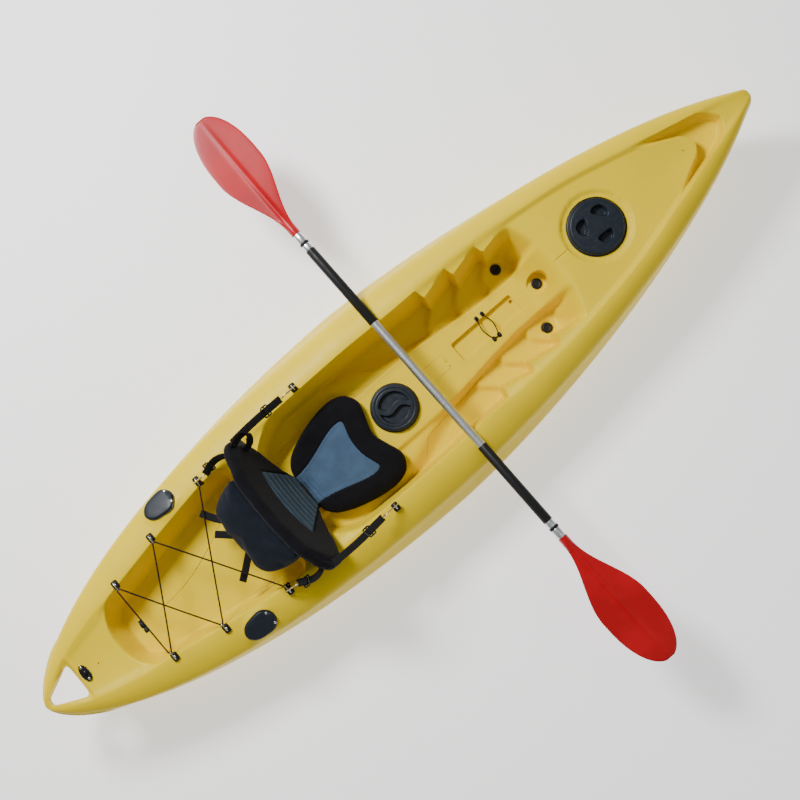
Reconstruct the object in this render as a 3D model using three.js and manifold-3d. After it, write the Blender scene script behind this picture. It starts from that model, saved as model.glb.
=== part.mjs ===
// A sit-on-top fishing kayak with its clip-in seat and its paddle laid across the rails.
//
// Frame: millimetres, +X to the bow, +Y to port, +Z up. The origin is on the floor, under the middle of the
// hull's length, on its centreline. The hull is one rotationally moulded shell, modelled solid: its deck is the
// height deckHeight(x, y) and its bottom the height bottomHeight(x, y), which meet along the gunwale.
import * as THREE from "three";
import { mergeGeometries, mergeVertices } from "three/addons/utils/BufferGeometryUtils.js";
import Module from "manifold-3d";

const wasm = await Module();
wasm.setup();

// ---------------------------------------------------------------- driving dimensions

const GAP = 0.3; // between pieces that touch
const CLEAR = 5; // between a moving piece and what it passes

// hull
const HULL_LENGTH = 2950;
const BEAM = 748; // at the widest line of the sides, half way up
const FLARE = 26; // how far the sides stand out beyond the deck's edge amidships
const FLARE_ENDS = 8; // and towards the ends
const WIDEST_X = -40; // station of the greatest beam
const SIDE_SHARE = 0.62; // height of the sides' widest line, as a share of the gunwale's
const GUNWALE_Z = 230; // height of the gunwale amidships
const BOW_SHEER = 72; // rise of the gunwale to the bow
const STERN_SHEER = 48; // and to the stern
const RAIL_RISE = 54; // height of the side rail's crest over the gunwale
const KEEL_FLAT = 0.56; // share of the half beam that is flat underneath amidships
const TUNNEL = 12; // depth of the two tunnels between the three keels
const KEEL_HALF = 20; // half width of the middle keel
const KEEL_LEVEL = 0.2; // share of the way to each tip over which it is level
const TUNNEL_SPAN = 130; // width of each tunnel
const DISH = 17; // how far the fore and aft decks sink between the rails

// carrying handle moulded through the stern
const HANDLE_BAR = 33; // thickness of the bar round the hole
const HANDLE_X = -1338; // fore edge of the hole
const HANDLE_HALF = 64; // half width of the hole at its fore edge
const HANDLE_DEPTH = 42; // thickness of the moulding there

// tank well behind the seat
const TANK_AFT = -1176;
const TANK_FORE = -546;
const TANK_FLOOR = 158;
const TANK_WALL = 34; // run of its sloping walls
const TANK_ROUND = 76; // length of its rounded aft end

// cockpit
const COCKPIT_AFT = -505;
const COCKPIT_FORE = 682; // where the console's slope meets the fore deck
const COCKPIT_WALL = 28;
const COCKPIT_ROUND = 190; // length of its rounded aft corners
const SEAT_FLOOR = 126;
const SPINE_TOP = 138; // console between the legs
const SPINE_AFT_HALF = 114;
const SPINE_FORE_HALF = 79;
const LEG_FLOOR = 92;
const LEG_AFT = 96; // where the leg channels have left the seat floor at the console
const TOOTH_X = 273; // first of the foot braces in the outer wall
const TOOTH_PITCH = 118;
const TOOTH_DEPTH = 34;
const STEP_X = 218; // first of the heel steps, at the console
const STEP_RISE = 22;
const STEP_LEAN = 55; // how much farther forward a step is at the outer wall
const BULKHEAD_Z = 236; // low wall between the cockpit and the tank well, at its edges
const BULKHEAD_CROWN = 3; // and how much higher its middle is

// hatches: [station, radius of rim, height of its seat, depth of the pocket under it]
const BOW_HATCH = { x: 842, rim: 96, lid: 91, pocket: 140, drop: 12 };
const CENTRE_HATCH = { x: -19, rim: 82, lid: 77, pocket: 88, drop: 0 };
const LID_THICK = 13;
const RIM_WALL = 9;
const HATCH_LIFT = 150;

// tray in the console, for small tackle
const TRAY = { x: 380, length: 252, width: 72, depth: 15 };

// small holes through the moulding, each closed by a rubber plug
const SCUPPER_R = 14;
const PLUG_FLANGE = 18;
const SCUPPERS = [
  { name: "port", x: 534, y: 129, recess: 22 },
  { name: "starboard", x: 534, y: -129, recess: 22 },
  { name: "console", x: 598, y: 0, recess: 34 },
];

// rod holders let into the rails behind the seat
const ROD = {
  x: -790, y: 250, z: 274, tilt: 20, length: 112, width: 80, bore: 20, wall: 3.5, depth: 150, rake: 30, pad: [80, 50],
};

// grab pocket near the bow
const GRAB = { aft: 1062, tip: 1352, depth: 46 };

// pad eyes on the crest of the rail: [name, x, share of the crest's half width]
const EYES = [
  ["tank_aft", -1054, 1.02],
  ["tank_mid", -874, 1.05],
  ["tank_fore", -645, 1.06],
  ["seat_fore", -220, 1.06],
];

// paddle laid across the rails
const PADDLE = { x: 110, y: -25, shaft: 14.5, grip: 16.2, bare: 515, hold: 312, ferrule: 66 };
const BLADE = { length: 492, width: 172, neck: 16, thick: 5 };

// seat
const SEAT_Y = -19; // the loose seat sits a little to starboard
const CUSHION_THICK = 44;
const HINGE = { x: -408, z: 188 }; // foot of the backrest's front face
const RECLINE = 20; // degrees from upright
const BACK_HEIGHT = 318;
const BACK_THICK = 28;
const WING = 255; // half width of the backrest at its wings
const BAG = { half: 160, low: 96, high: 300, deep: 145 };
const STRAP_TOPS = { fore: 262, aft: 246 }; // height on the backrest where its straps start
const STRAP_WIDTH = 25;
const STRAP_THICK = 2.4;

// shock cord
const CORD_R = 2.5;
const LINK = 22; // reach of a pad eye's link towards the well
const TURN = 12; // half the length of the cord's turn through a link

// ---------------------------------------------------------------- colours

const paint = (color, roughness, metalness = 0) =>
  new THREE.MeshStandardMaterial({ color, roughness, metalness });
const YELLOW = paint(0xe8cf1c, 0.42);
const CHARCOAL = paint(0x2a2f3a, 0.5);
const RUBBER = paint(0x2b2730, 0.75);
const BLACK = paint(0x14141a, 0.9);
const BLUE_GREY = paint(0x566c88, 0.85);
const DARK_GREY = paint(0x3c4652, 0.85);
const STEEL = paint(0xb9bcc0, 0.3, 1);
const BRASS = paint(0xc9ad6a, 0.35, 1);
const SILVER = paint(0xc8d4dc, 0.35, 0.9);
const RED = paint(0xb5121b, 0.35);

// ---------------------------------------------------------------- small helpers

const clamp = (t) => Math.min(1, Math.max(0, t));
const ease = (t) => {
  const c = clamp(t);
  return c * c * (3 - 2 * c);
};
const mix = (a, b, t) => a + (b - a) * t;
const rad = (degrees) => (degrees * Math.PI) / 180;
const range = (n) => [...Array(n).keys()];

/** A closed manifold solid from a geometry. */
function solid(geometry) {
  const g = geometry.clone();
  for (const name of ["normal", "uv", "color"]) g.deleteAttribute(name);
  const merged = mergeVertices(g, 1e-3);
  return new wasm.Manifold(
    new wasm.Mesh({
      numProp: 3,
      vertProperties: merged.attributes.position.array,
      triVerts: new Uint32Array(merged.index.array),
    }),
  );
}

/** A geometry from a manifold solid. */
function geometryOf(made) {
  const mesh = made.simplify(0.05).getMesh();
  const positions = new Float32Array(mesh.numVert * 3);
  for (const i of range(mesh.numVert)) {
    positions.set(mesh.vertProperties.subarray(i * mesh.numProp, i * mesh.numProp + 3), i * 3);
  }
  return new THREE.BufferGeometry()
    .setAttribute("position", new THREE.BufferAttribute(positions, 3))
    .setIndex(new THREE.BufferAttribute(mesh.triVerts, 1));
}

const cut = (geometry, ...tools) =>
  geometryOf(tools.reduce((body, tool) => body.subtract(solid(tool)), solid(geometry)));
const join = (...pieces) => geometryOf(pieces.map(solid).reduce((a, b) => a.add(b)));

/** A closed skin over two grids of points, upper and lower, that share or face each other's edge. */
function slab(rows, columns, upper, lower) {
  const positions = [];
  for (const side of [upper, lower]) {
    for (const i of range(rows)) for (const j of range(columns)) positions.push(...side(i, j));
  }
  const at = (side, i, j) => side * rows * columns + i * columns + j;
  const index = [];
  const quad = (a, b, c, d) => index.push(a, b, c, a, c, d);
  for (const i of range(rows - 1)) {
    for (const j of range(columns - 1)) {
      quad(at(0, i, j), at(0, i + 1, j), at(0, i + 1, j + 1), at(0, i, j + 1));
      quad(at(1, i, j), at(1, i, j + 1), at(1, i + 1, j + 1), at(1, i + 1, j));
    }
    quad(at(0, i + 1, 0), at(0, i, 0), at(1, i, 0), at(1, i + 1, 0));
    quad(at(0, i, columns - 1), at(0, i + 1, columns - 1), at(1, i + 1, columns - 1), at(1, i, columns - 1));
  }
  for (const j of range(columns - 1)) {
    quad(at(0, 0, j), at(0, 0, j + 1), at(1, 0, j + 1), at(1, 0, j));
    quad(at(0, rows - 1, j + 1), at(0, rows - 1, j), at(1, rows - 1, j), at(1, rows - 1, j + 1));
  }
  return new THREE.BufferGeometry()
    .setAttribute("position", new THREE.Float32BufferAttribute(positions, 3))
    .setIndex(index);
}

const circle = (r, sides) =>
  new THREE.Shape(range(sides).map((i) => {
    const a = (2 * Math.PI * i) / sides;
    return new THREE.Vector2(r * Math.cos(a), r * Math.sin(a));
  }));

/** A tube of radius r along a curve through the points. */
function tube(points, r, steps, sides = 8) {
  const path = new THREE.CatmullRomCurve3(points.map((p) => new THREE.Vector3(...p)), false, "centripetal");
  return new THREE.ExtrudeGeometry(circle(r, sides), { steps, extrudePath: path, bevelEnabled: false });
}

/** A prism of the shape, from z = low to z = high. */
const prism = (shape, low, high, curveSegments = 8) =>
  new THREE.ExtrudeGeometry(shape, { depth: high - low, bevelEnabled: false, curveSegments })
    .translate(0, 0, low);

/** A turned piece about Z from [radius, height] pairs, in order from its foot on the axis to its top. */
const turned = (profile, segments = 32) =>
  new THREE.LatheGeometry(profile.map(([r, z]) => new THREE.Vector2(r, z)), segments)
    .rotateX(Math.PI / 2);

/** A drum from z = low to z = high about (x, y). */
const drum = (x, y, r, low, high, segments = 24) =>
  new THREE.CylinderGeometry(r, r, high - low, segments)
    .rotateX(Math.PI / 2)
    .translate(x, y, (low + high) / 2);

/** A smooth closed outline through the points. */
function outline(points, divisions) {
  const curve = new THREE.CatmullRomCurve3(points.map(([x, y]) => new THREE.Vector3(x, y, 0)), true);
  return new THREE.Shape(curve.getPoints(divisions).slice(0, -1).map((p) => new THREE.Vector2(p.x, p.y)));
}

const group = new THREE.Group();

/** Adds a named piece to the kayak. */
function add(name, geometry, material, parent = group) {
  const mesh = new THREE.Mesh(geometry, material);
  mesh.name = name;
  parent.add(mesh);
  return mesh;
}

// ---------------------------------------------------------------- hull surfaces

/** Distance along the hull from its widest station, 0 there and 1 at the tip. */
const toTip = (x) =>
  clamp(x > WIDEST_X ? (x - WIDEST_X) / (HULL_LENGTH / 2 - WIDEST_X) : (WIDEST_X - x) / (HULL_LENGTH / 2 + WIDEST_X));

/** Half width of the hull at the widest line of its sides. */
function halfHull(x) {
  const [power, round] = x > WIDEST_X ? [1.6, 0.7] : [2.1, 0.6];
  return (BEAM / 2) * (1 - toTip(x) ** power) ** round;
}

/** Half width of the deck at the gunwale. */
function halfBeam(x) {
  const b = halfHull(x);
  return b - Math.min(FLARE * Math.exp(-((x / 700) ** 2)) + FLARE_ENDS, 0.25 * b);
}

const gunwale = (x) => GUNWALE_Z + (x > WIDEST_X ? BOW_SHEER * toTip(x) ** 2.2 : STERN_SHEER * toTip(x) ** 2.4);
const crestRise = (x) => (RAIL_RISE - 22 * toTip(x)) * (1 - toTip(x) ** 10) ** 0.5;

/** Half width between the crests of the two side rails. */
function crest(x) {
  const aft = 0.1 * ease((-450 - x) / 700);
  const waist = 0.058 * ease((x - 100) / 500);
  const fore = 0.15 * ease((x - 800) / 500);
  return halfBeam(x) * (0.695 - aft + waist - fore);
}

/** Height of the stem, keel and stern along the centreline, flat amidships. */
function keel(x) {
  const rocker = clamp((toTip(x) - KEEL_LEVEL) / (1 - KEEL_LEVEL));
  const stem = gunwale(x) * (1 - (1 - rocker ** 4.6) ** 0.5);
  const underHandle = gunwale(x) - HANDLE_DEPTH / 2;
  const handle = ease((HANDLE_X + 70 - x) / 90);
  const tip = (1 - toTip(x) ** 40) ** 0.5;
  return mix(stem, mix(gunwale(x), underHandle, tip), x < 0 ? handle : 0);
}

/** Height of the hull's bottom, up to the widest line of its sides. */
function bottomHeight(x, y) {
  const t = toTip(x);
  const share = clamp(Math.abs(y) / Math.max(halfHull(x), 1e-6));
  const flat = KEEL_FLAT * (1 - t ** 2);
  const bilge = clamp((share - flat) / (1 - flat));
  const power = 2 - 0.75 * t ** 2;
  const across = clamp((Math.abs(y) - KEEL_HALF) / TUNNEL_SPAN);
  const tunnel = TUNNEL * Math.sin(Math.PI * across) ** 2 * (1 - t ** 1.5) ** 1.5;
  const rise = widestHeight(x) - keel(x);
  return keel(x) + rise * (1 - (1 - bilge ** power) ** (1 / power)) + Math.min(tunnel, rise);
}

/** Height of the widest line of the sides. */
const widestHeight = (x) => mix(keel(x), gunwale(x), SIDE_SHARE);

/** A point of the side above its widest line, at a share of the way to the gunwale. */
const topside = (x, share) => [
  mix(halfBeam(x), halfHull(x), (1 - share) ** 1.4 * (1 + 0.4 * share)),
  mix(widestHeight(x), gunwale(x), share),
];

/** Half width of the console between the legs. */
const spineHalf = (x) => mix(SPINE_AFT_HALF, SPINE_FORE_HALF, ease((x - 60) / 440));

/** Half width of the cockpit, with the foot braces as teeth in its outer wall. */
function cockpitHalf(x) {
  const corner = clamp((COCKPIT_AFT + COCKPIT_ROUND - x) / COCKPIT_ROUND);
  const wall = (crest(x) - 2) * (1 - 0.86 * corner ** 1.7) ** 0.5;
  const along = (x - TOOTH_X) / TOOTH_PITCH;
  if (along < 0) return wall;
  const tooth = Math.min(2, Math.floor(along));
  const jump = ease((x - TOOTH_X - tooth * TOOTH_PITCH) / 12);
  const before = tooth === 0 ? wall : wall - 3 - 4 * tooth;
  const after = wall - TOOTH_DEPTH - 3 - 3 * tooth + (along - tooth) * (TOOTH_DEPTH - 3);
  return mix(before, after, jump);
}

/** Half width of the tank well, which is round at its aft end. */
function tankHalf(x) {
  const aft = clamp((TANK_AFT + TANK_ROUND - x) / TANK_ROUND);
  const fore = clamp((x - TANK_FORE + 40) / 40);
  return (crest(x) - 2) * Math.sqrt(1 - aft * aft) * Math.sqrt(1 - 0.4 * fore * fore);
}

/** Floor of the cockpit: seat floor, console, and leg channels with their heel steps. */
function cockpitFloor(x, y) {
  const a = Math.abs(y);
  const aside = ease((a - spineHalf(x) + 9) / 18);
  const legStart = LEG_AFT - (a - 118) * 2.7;
  const along = (x - STEP_X - STEP_LEAN * ease((a - 120) / 70)) / TOOTH_PITCH;
  const step = clamp(Math.floor(along));
  const rise = along < 0 ? 0 : ease(((along % 1) * TOOTH_PITCH) / 12) * (1 - (along % 1));
  const leg = mix(SEAT_FLOOR, LEG_FLOOR, ease((x - legStart + 60) / 160)) + STEP_RISE * rise * (along < 3 ? 1 : step);
  return mix(SPINE_TOP, leg, aside);
}

/** Where the cockpit's fore slope ends, which bows forward in the middle. */
const cockpitFore = (y) => COCKPIT_FORE - 0.0013 * y * y;

function deckHeight(x, y) {
  const a = Math.abs(y);
  const b = halfBeam(x);
  const r = crest(x);
  const top = gunwale(x) + crestRise(x);
  if (a >= r) {
    const up = clamp((b - a) / Math.max(b - r, 1e-6));
    const band = gunwale(x) + crestRise(x) * Math.sin((Math.PI / 2) * up) ** 0.7;
    return mix(band, padHeight(a), rodPad(x, a) * ease(up / 0.1));
  }
  const dish = DISH * ease((HULL_LENGTH / 2 - Math.abs(x)) / 260);
  let z = top - dish * (1 - (a / Math.max(r, 1e-6)) ** 2);
  const between = ease((x - TANK_FORE + 60) / 40) * ease((COCKPIT_AFT + 60 - x) / 40) * ease((r - 8 - a) / 40);
  z = mix(z, BULKHEAD_Z + BULKHEAD_CROWN * (1 - (a / 200) ** 2), between);
  const tank =
    ease((tankHalf(x) - a) / TANK_WALL) * ease((x - TANK_AFT) / TANK_WALL) * ease((TANK_FORE - x) / TANK_WALL);
  z = mix(z, TANK_FLOOR, tank);
  const foreRun = mix(130, 92, ease((a - spineHalf(x)) / 20));
  const cockpit =
    ease((cockpitHalf(x) - a) / COCKPIT_WALL) * ease((x - COCKPIT_AFT) / 36) * ease((cockpitFore(y) - x) / foreRun);
  z = mix(z, cockpitFloor(x, y), cockpit);
  return z - grabDepth(x, y);
}

/** Share of the flat pad moulded round a rod holder, 1 on the pad and 0 off it. */
function rodPad(x, a) {
  const away = Math.hypot((x - ROD.x - 8) / ROD.pad[0], (a - ROD.y) / ROD.pad[1]);
  return ease((1 - away) / 0.24);
}

/** Height of the rod holder pad's plane, tilted outwards. */
const padHeight = (a) => ROD.z - (a - ROD.y) * Math.tan(rad(ROD.tilt));

/** Depth of the grab pocket near the bow: a groove in the shape of a V round a raised tongue. */
function grabDepth(x, y) {
  const a = Math.abs(y);
  const outer = Math.min(crest(x) - 4 - a, (GRAB.tip - x) * 1.4 - a * 0.2);
  const tongue = (GRAB.tip - 92 - x) * 0.62 - a;
  const deepening = ease((x - GRAB.aft) / (GRAB.tip - GRAB.aft - 40));
  return GRAB.depth * deepening * ease(outer / 20) * (1 - ease((tongue + 16) / 20));
}

// ---------------------------------------------------------------- hull solid

/** Stations along the hull: even ones, with more at the tips and at each change of shape. */
function stations() {
  const ends = [0, 3, 12, 30, 52, 95].flatMap((d) => [-HULL_LENGTH / 2 + d, HULL_LENGTH / 2 - d]);
  const walls = [
    TANK_AFT, TANK_AFT + 17, TANK_AFT + TANK_WALL, TANK_AFT + TANK_ROUND, TANK_FORE - TANK_WALL, TANK_FORE,
    COCKPIT_AFT, COCKPIT_AFT + 18, COCKPIT_AFT + 36, COCKPIT_FORE, COCKPIT_FORE - 70, COCKPIT_FORE - 140,
  ];
  const teeth = range(3).flatMap((k) => [TOOTH_X + k * TOOTH_PITCH, TOOTH_X + k * TOOTH_PITCH + 12]);
  const steps = range(3).flatMap((k) => [STEP_X + k * TOOTH_PITCH, STEP_X + k * TOOTH_PITCH + 12]);
  const grab = [GRAB.aft, GRAB.tip - 92, GRAB.tip - 40, GRAB.tip - 14, GRAB.tip];
  const even = range(38).map((i) => -HULL_LENGTH / 2 + 140 + (i * (HULL_LENGTH - 280)) / 37);
  const fixed = [...ends, ...walls, ...teeth, ...steps, ...grab];
  const spaced = even.filter((x) => fixed.every((f) => Math.abs(f - x) > 22));
  return [...fixed, ...spaced].sort((p, q) => p - q);
}

/** Half widths at one station where the deck's surface bends, from the centreline out. */
function deckBends(x) {
  const b = halfBeam(x);
  const r = crest(x);
  const scale = Math.min(1, r / 200);
  const well = x < (TANK_FORE + COCKPIT_AFT) / 2 ? tankHalf(x) : cockpitHalf(x);
  const wall = Math.min(Math.max(well, 0.55 * r), r - 2 * scale);
  const foot = Math.max(wall - 30 * scale, 0.45 * r);
  const spine = Math.min(spineHalf(x), foot - 14 * scale) * Math.min(1, scale);
  return [0, spine / 2, spine - 8 * scale, spine + 8 * scale, mix(spine, foot, 0.55), foot, wall, r,
    mix(r, b, 0.4), mix(r, b, 0.75), mix(r, b, 0.94)];
}

const mirrored = (halves) => [...halves.slice(1).reverse().map((v) => -v), ...halves];

/** The moulding before its holes are cut: a deck grid and a bottom grid sewn along the gunwale. */
function moulding() {
  const xs = stations();
  const inner = xs.slice(1, -1);
  const bottomShares = [0.16, 0.27, 0.4, 0.56, 0.7, 0.82, 0.91, 0.97, 1];
  const positions = [];
  const push = (x, y, z) => positions.push(x, y, z) / 3 - 1;
  const rows = inner.map((x) => {
    const b = halfBeam(x);
    const deck = mirrored(deckBends(x)).map((y) => push(x, y, deckHeight(x, y)));
    const keelEdge = Math.min(KEEL_HALF, 0.08 * halfHull(x));
    const halves = [0, keelEdge, ...bottomShares.map((share) => share * halfHull(x))];
    const low = halves.map((y) => [y, bottomHeight(x, y)]);
    const section = [...low, topside(x, 0.5)];
    const both = [...section.slice(1).reverse().map(([y, z]) => [-y, z]), ...section];
    const bottom = both.map(([y, z]) => push(x, y, z));
    const edges = [push(x, -b, gunwale(x)), push(x, b, gunwale(x))];
    return [[edges[0], ...deck, edges[1]], [edges[0], ...bottom, edges[1]]];
  });
  const tips = [xs[0], xs[xs.length - 1]].map((x) => push(x, 0, gunwale(x)));
  const index = [];
  const face = (upward, a, b, c) => (upward ? index.push(a, b, c) : index.push(a, c, b));
  for (const side of [0, 1]) {
    const up = side === 0;
    for (const i of range(rows.length - 1)) {
      const [p, q] = [rows[i][side], rows[i + 1][side]];
      for (const j of range(p.length - 1)) {
        face(up, p[j], q[j], q[j + 1]);
        face(up, p[j], q[j + 1], p[j + 1]);
      }
    }
    const [first, last] = [rows[0][side], rows[rows.length - 1][side]];
    for (const j of range(first.length - 1)) {
      face(up, tips[0], first[j], first[j + 1]);
      face(up, tips[1], last[j + 1], last[j]);
    }
  }
  return new THREE.BufferGeometry()
    .setAttribute("position", new THREE.Float32BufferAttribute(positions, 3))
    .setIndex(index);
}

/** The hole of the stern handle: a triangle with round corners. */
function handleHole() {
  const aft = -HULL_LENGTH / 2 + HANDLE_BAR;
  const corners = [[aft, 0], [HANDLE_X, -HANDLE_HALF], [HANDLE_X, HANDLE_HALF]];
  const radii = [26, 14, 14];
  const shape = new THREE.Shape();
  corners.forEach(([x, y], i) => {
    const [before, after] = [corners[(i + 2) % 3], corners[(i + 1) % 3]];
    const reach = (to) => {
      const length = Math.hypot(to[0] - x, to[1] - y);
      return [x + ((to[0] - x) * radii[i]) / length, y + ((to[1] - y) * radii[i]) / length];
    };
    const [start, end] = [reach(before), reach(after)];
    if (i === 0) shape.moveTo(...start);
    else shape.lineTo(...start);
    shape.quadraticCurveTo(x, y, ...end);
  });
  shape.closePath();
  return prism(shape, 150, 400, 5);
}

/** Floor of the round recess that a scupper plug's flange lies in. */
const plugSeat = (x, y, r) =>
  Math.min(...[[0, 0], [r, 0], [-r, 0], [0, r], [0, -r]].map(([dx, dy]) => deckHeight(x + dx, y + dy))) - 1;

const hatchSeat = (hatch) => deckHeight(hatch.x, 0) - hatch.drop;
const trayTop = SPINE_TOP;

/** A rod holder's own frame: on the rail, tilted outwards, with its pipe raked aft. */
function rodFrame(side) {
  const frame = new THREE.Group();
  frame.position.set(ROD.x, side * ROD.y, ROD.z + 2);
  frame.rotation.set(rad(-side * ROD.tilt), 0, 0);
  frame.updateMatrixWorld(true);
  return frame;
}

/** The pipe's direction in a rod holder's frame: down and forward, so that the rod leans aft. */
const pipe = (r, length, low = 0) =>
  new THREE.CylinderGeometry(r, r, length - low, 16)
    .rotateX(Math.PI / 2)
    .translate(0, 0, -(length + low) / 2)
    .rotateY(-rad(ROD.rake));

function hullGeometry() {
  const tools = [handleHole()];
  for (const hatch of [BOW_HATCH, CENTRE_HATCH]) {
    const seat = hatchSeat(hatch);
    tools.push(drum(hatch.x, 0, hatch.rim + 2, seat, seat + 90, 36));
    tools.push(drum(hatch.x, 0, hatch.rim - RIM_WALL - 6, seat - hatch.pocket, seat + 10, 28));
  }
  tools.push(new THREE.BoxGeometry(TRAY.length, TRAY.width, 60).translate(TRAY.x, 0, trayTop - TRAY.depth + 30));
  for (const { x, y, recess } of SCUPPERS) {
    tools.push(drum(x, y, SCUPPER_R, -10, 300, 14));
    tools.push(drum(x, y, recess, plugSeat(x, y, recess), 320, 20));
  }
  for (const side of [-1, 1]) {
    const frame = rodFrame(side);
    tools.push(prism(rodShape(4), -2, 60).applyMatrix4(frame.matrixWorld));
    tools.push(pipe(ROD.bore + ROD.wall + 0.6, ROD.depth + 4, -20).applyMatrix4(frame.matrixWorld));
  }
  return cut(moulding(), ...tools);
}

// ---------------------------------------------------------------- hatches

/** Rim of a hatch: a flange on the deck and a collar down into the pocket. */
function hatchRim(hatch) {
  const seat = hatchSeat(hatch) + GAP;
  const collar = hatch.rim - RIM_WALL - 6 - 1;
  const inner = hatch.lid - RIM_WALL - 8;
  return turned(
    [[inner, -28], [collar, -28], [collar, 0], [hatch.rim, 0], [hatch.rim, 4], [hatch.lid + 1, 6], [inner, 6], [inner, -28]],
    36,
  ).translate(hatch.x, 0, seat);
}

/** A screw lid: a crowned disc over the rim with a plug into it, and finger recesses cut in its top. */
function hatchLid(hatch, recesses) {
  const foot = hatchSeat(hatch) + GAP + 6 + GAP;
  const plug = hatch.lid - RIM_WALL - 8 - 2;
  const body = turned(
    [[0, -16], [plug, -16], [plug, 0], [hatch.lid, 0], [hatch.lid, LID_THICK - 4], [hatch.lid - 5, LID_THICK], [0, LID_THICK + 1]],
    36,
  );
  return cut(body, ...recesses).translate(hatch.x, 0, foot);
}

const scoop = (x, y, rx, ry, depth, turn) =>
  new THREE.SphereGeometry(1, 10, 6).scale(rx, ry, depth).rotateZ(turn).translate(x, y, LID_THICK + 2);

const bowScoops = range(3).map((k) => {
  const a = rad(52 + 120 * k);
  return scoop(42 * Math.cos(a), 42 * Math.sin(a), 24, 15, 17, a + Math.PI / 2);
});

/** Two half-moon recesses that leave a wavy grip across a lid. */
const centreScoops = [1, -1].map((side) => {
  const moon = new THREE.Shape();
  moon.moveTo(-46, side * 8);
  moon.quadraticCurveTo(-8, side * 8 + 16, 12, side * 8 + 2);
  moon.quadraticCurveTo(30, side * 8 - 6, 46, side * 8);
  moon.quadraticCurveTo(34, side * 8 + side * 44, 0, side * 54);
  moon.quadraticCurveTo(-34, side * 8 + side * 44, -46, side * 8);
  return prism(moon, 0, 40, 5).rotateZ(rad(-20)).translate(0, 0, -1);
});

// ---------------------------------------------------------------- deck fittings

/** A closed wire of radius r through the points. */
function loop(points, r, steps, sides = 6) {
  const path = new THREE.CatmullRomCurve3(points.map((p) => new THREE.Vector3(...p)), true);
  return new THREE.TubeGeometry(path, steps, r, sides, true);
}

/** Where a pad eye stands: on the crest of its rail. */
function eyePlace(name, side) {
  const [, x, share] = EYES.find((eye) => eye[0] === name);
  const y = crest(x) * share;
  return { x, y: side * y, z: deckHeight(x, y) + 2, side };
}

/** A pad eye: a screwed-down foot with a wire bail in the plane across the hull, reaching inboard. */
function padEye(eye, reach) {
  const foot = new THREE.BoxGeometry(22, 27, 6).translate(0, 0, 3);
  const inboard = -eye.side;
  const wire = [[-6, 3], [-8, 9], [-3, 15], [reach / 2, 16], [reach - 3, 15], [reach + 2, 10], [reach - 3, 5], [6, 4]];
  const bail = loop(wire.map(([y, z]) => [0, inboard * y, z]), 1.7, 14, 5);
  return join(foot, bail).translate(eye.x, eye.y, eye.z);
}

/** The point inside a pad eye's bail that a cord or hook passes through. */
const eyePoint = (eye, reach, dx = 0, inboard = 0, dz = 0) =>
  [eye.x + dx, eye.y - eye.side * (reach - 5.5 + inboard), eye.z + 10 + dz];

/** Outline of a rod holder's flange: a shield with its narrow end aft. */
const rodShape = (grow) => {
  const [l, w] = [ROD.length / 2 + grow, ROD.width / 2 + grow];
  return outline([[-l, 0], [-0.72 * l, 0.7 * w], [0.05 * l, w], [0.62 * l, 0.95 * w], [l, 0.35 * w], [l, -0.35 * w],
    [0.62 * l, -0.95 * w], [0.05 * l, -w], [-0.72 * l, -0.7 * w]], 26);
};

function rodHolder() {
  const plate = prism(rodShape(0), -2 + GAP, 3);
  const sleeve = pipe(ROD.bore + ROD.wall, ROD.depth);
  const above = new THREE.BoxGeometry(2 * ROD.length, 2 * ROD.width, 60).translate(0, 0, 33);
  return cut(join(plate, sleeve), pipe(ROD.bore, ROD.depth + 20, -20), above);
}

const rodCap = () => join(prism(rodShape(-3), 3 + GAP, 9), drum(0, 0, ROD.bore * 0.6, -6, 6, 14));

const scupperPlug = (r, flange) =>
  turned([[0, -42], [r - 3.5, -42], [r - 1, -1], [flange, -1], [flange, 3], [flange - 3, 6], [0, 6]], 16);

// ---------------------------------------------------------------- shock cord

/** The tank well's lacing: one cord through the eyes of both rails, crossing itself twice. */
function lacing() {
  const stops = [["fore", 1], ["mid", -1], ["aft", 1], ["aft", -1], ["mid", 1], ["fore", -1]];
  const points = [];
  stops.forEach(([name, side], i) => {
    const eye = eyePlace(`tank_${name}`, side);
    const heading = i < 3 ? -1 : 1;
    const first = i === 0;
    const last = i === stops.length - 1;
    if (!first) points.push(eyePoint(eye, LINK, -TURN * heading, 8));
    points.push(eyePoint(eye, LINK, first || last ? 5 * heading * (first ? -1 : 1) : 0));
    if (!last) points.push(eyePoint(eye, LINK, TURN * heading, 8));
  });
  // the crossings pass over and under by more than the cord's own thickness
  const middles = [[1, 2, 4.5], [4, 5, 4.5], [7, 8, 0], [10, 11, -4.5], [13, 14, -4.5]];
  const bent = [];
  points.forEach((p, i) => {
    bent.push(p);
    const bend = middles.find(([from]) => from === i);
    if (!bend) return;
    const q = points[bend[1]];
    bent.push([(p[0] + q[0]) / 2, (p[1] + q[1]) / 2, (p[2] + q[2]) / 2 + bend[2]]);
  });
  return tube(bent, CORD_R, 110, 5);
}

/** The cord lock on the lacing's aft line, which runs through it. */
function cordLock() {
  const eye = eyePlace("tank_aft", 1);
  const [x, , z] = eyePoint(eye, LINK, -TURN, 8);
  const body = new THREE.BoxGeometry(17, 46, 13);
  const bore = new THREE.CylinderGeometry(CORD_R + 1.5, CORD_R + 1.5, 60, 10);
  return cut(body, bore).translate(x, -12, z);
}

/** The console's short cord, across the tray and back. */
function trayCord() {
  const z = SPINE_TOP + CORD_R + GAP;
  const out = TRAY.width / 2 + 8;
  return tube([[368, out + 6, z], [368, out, z], [368, 0, z], [368, -out, z], [380, -out - 10, z], [392, -out, z],
    [392, 0, z], [392, out, z], [392, out + 6, z]], 2, 26, 5);
}

// ---------------------------------------------------------------- seat

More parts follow.
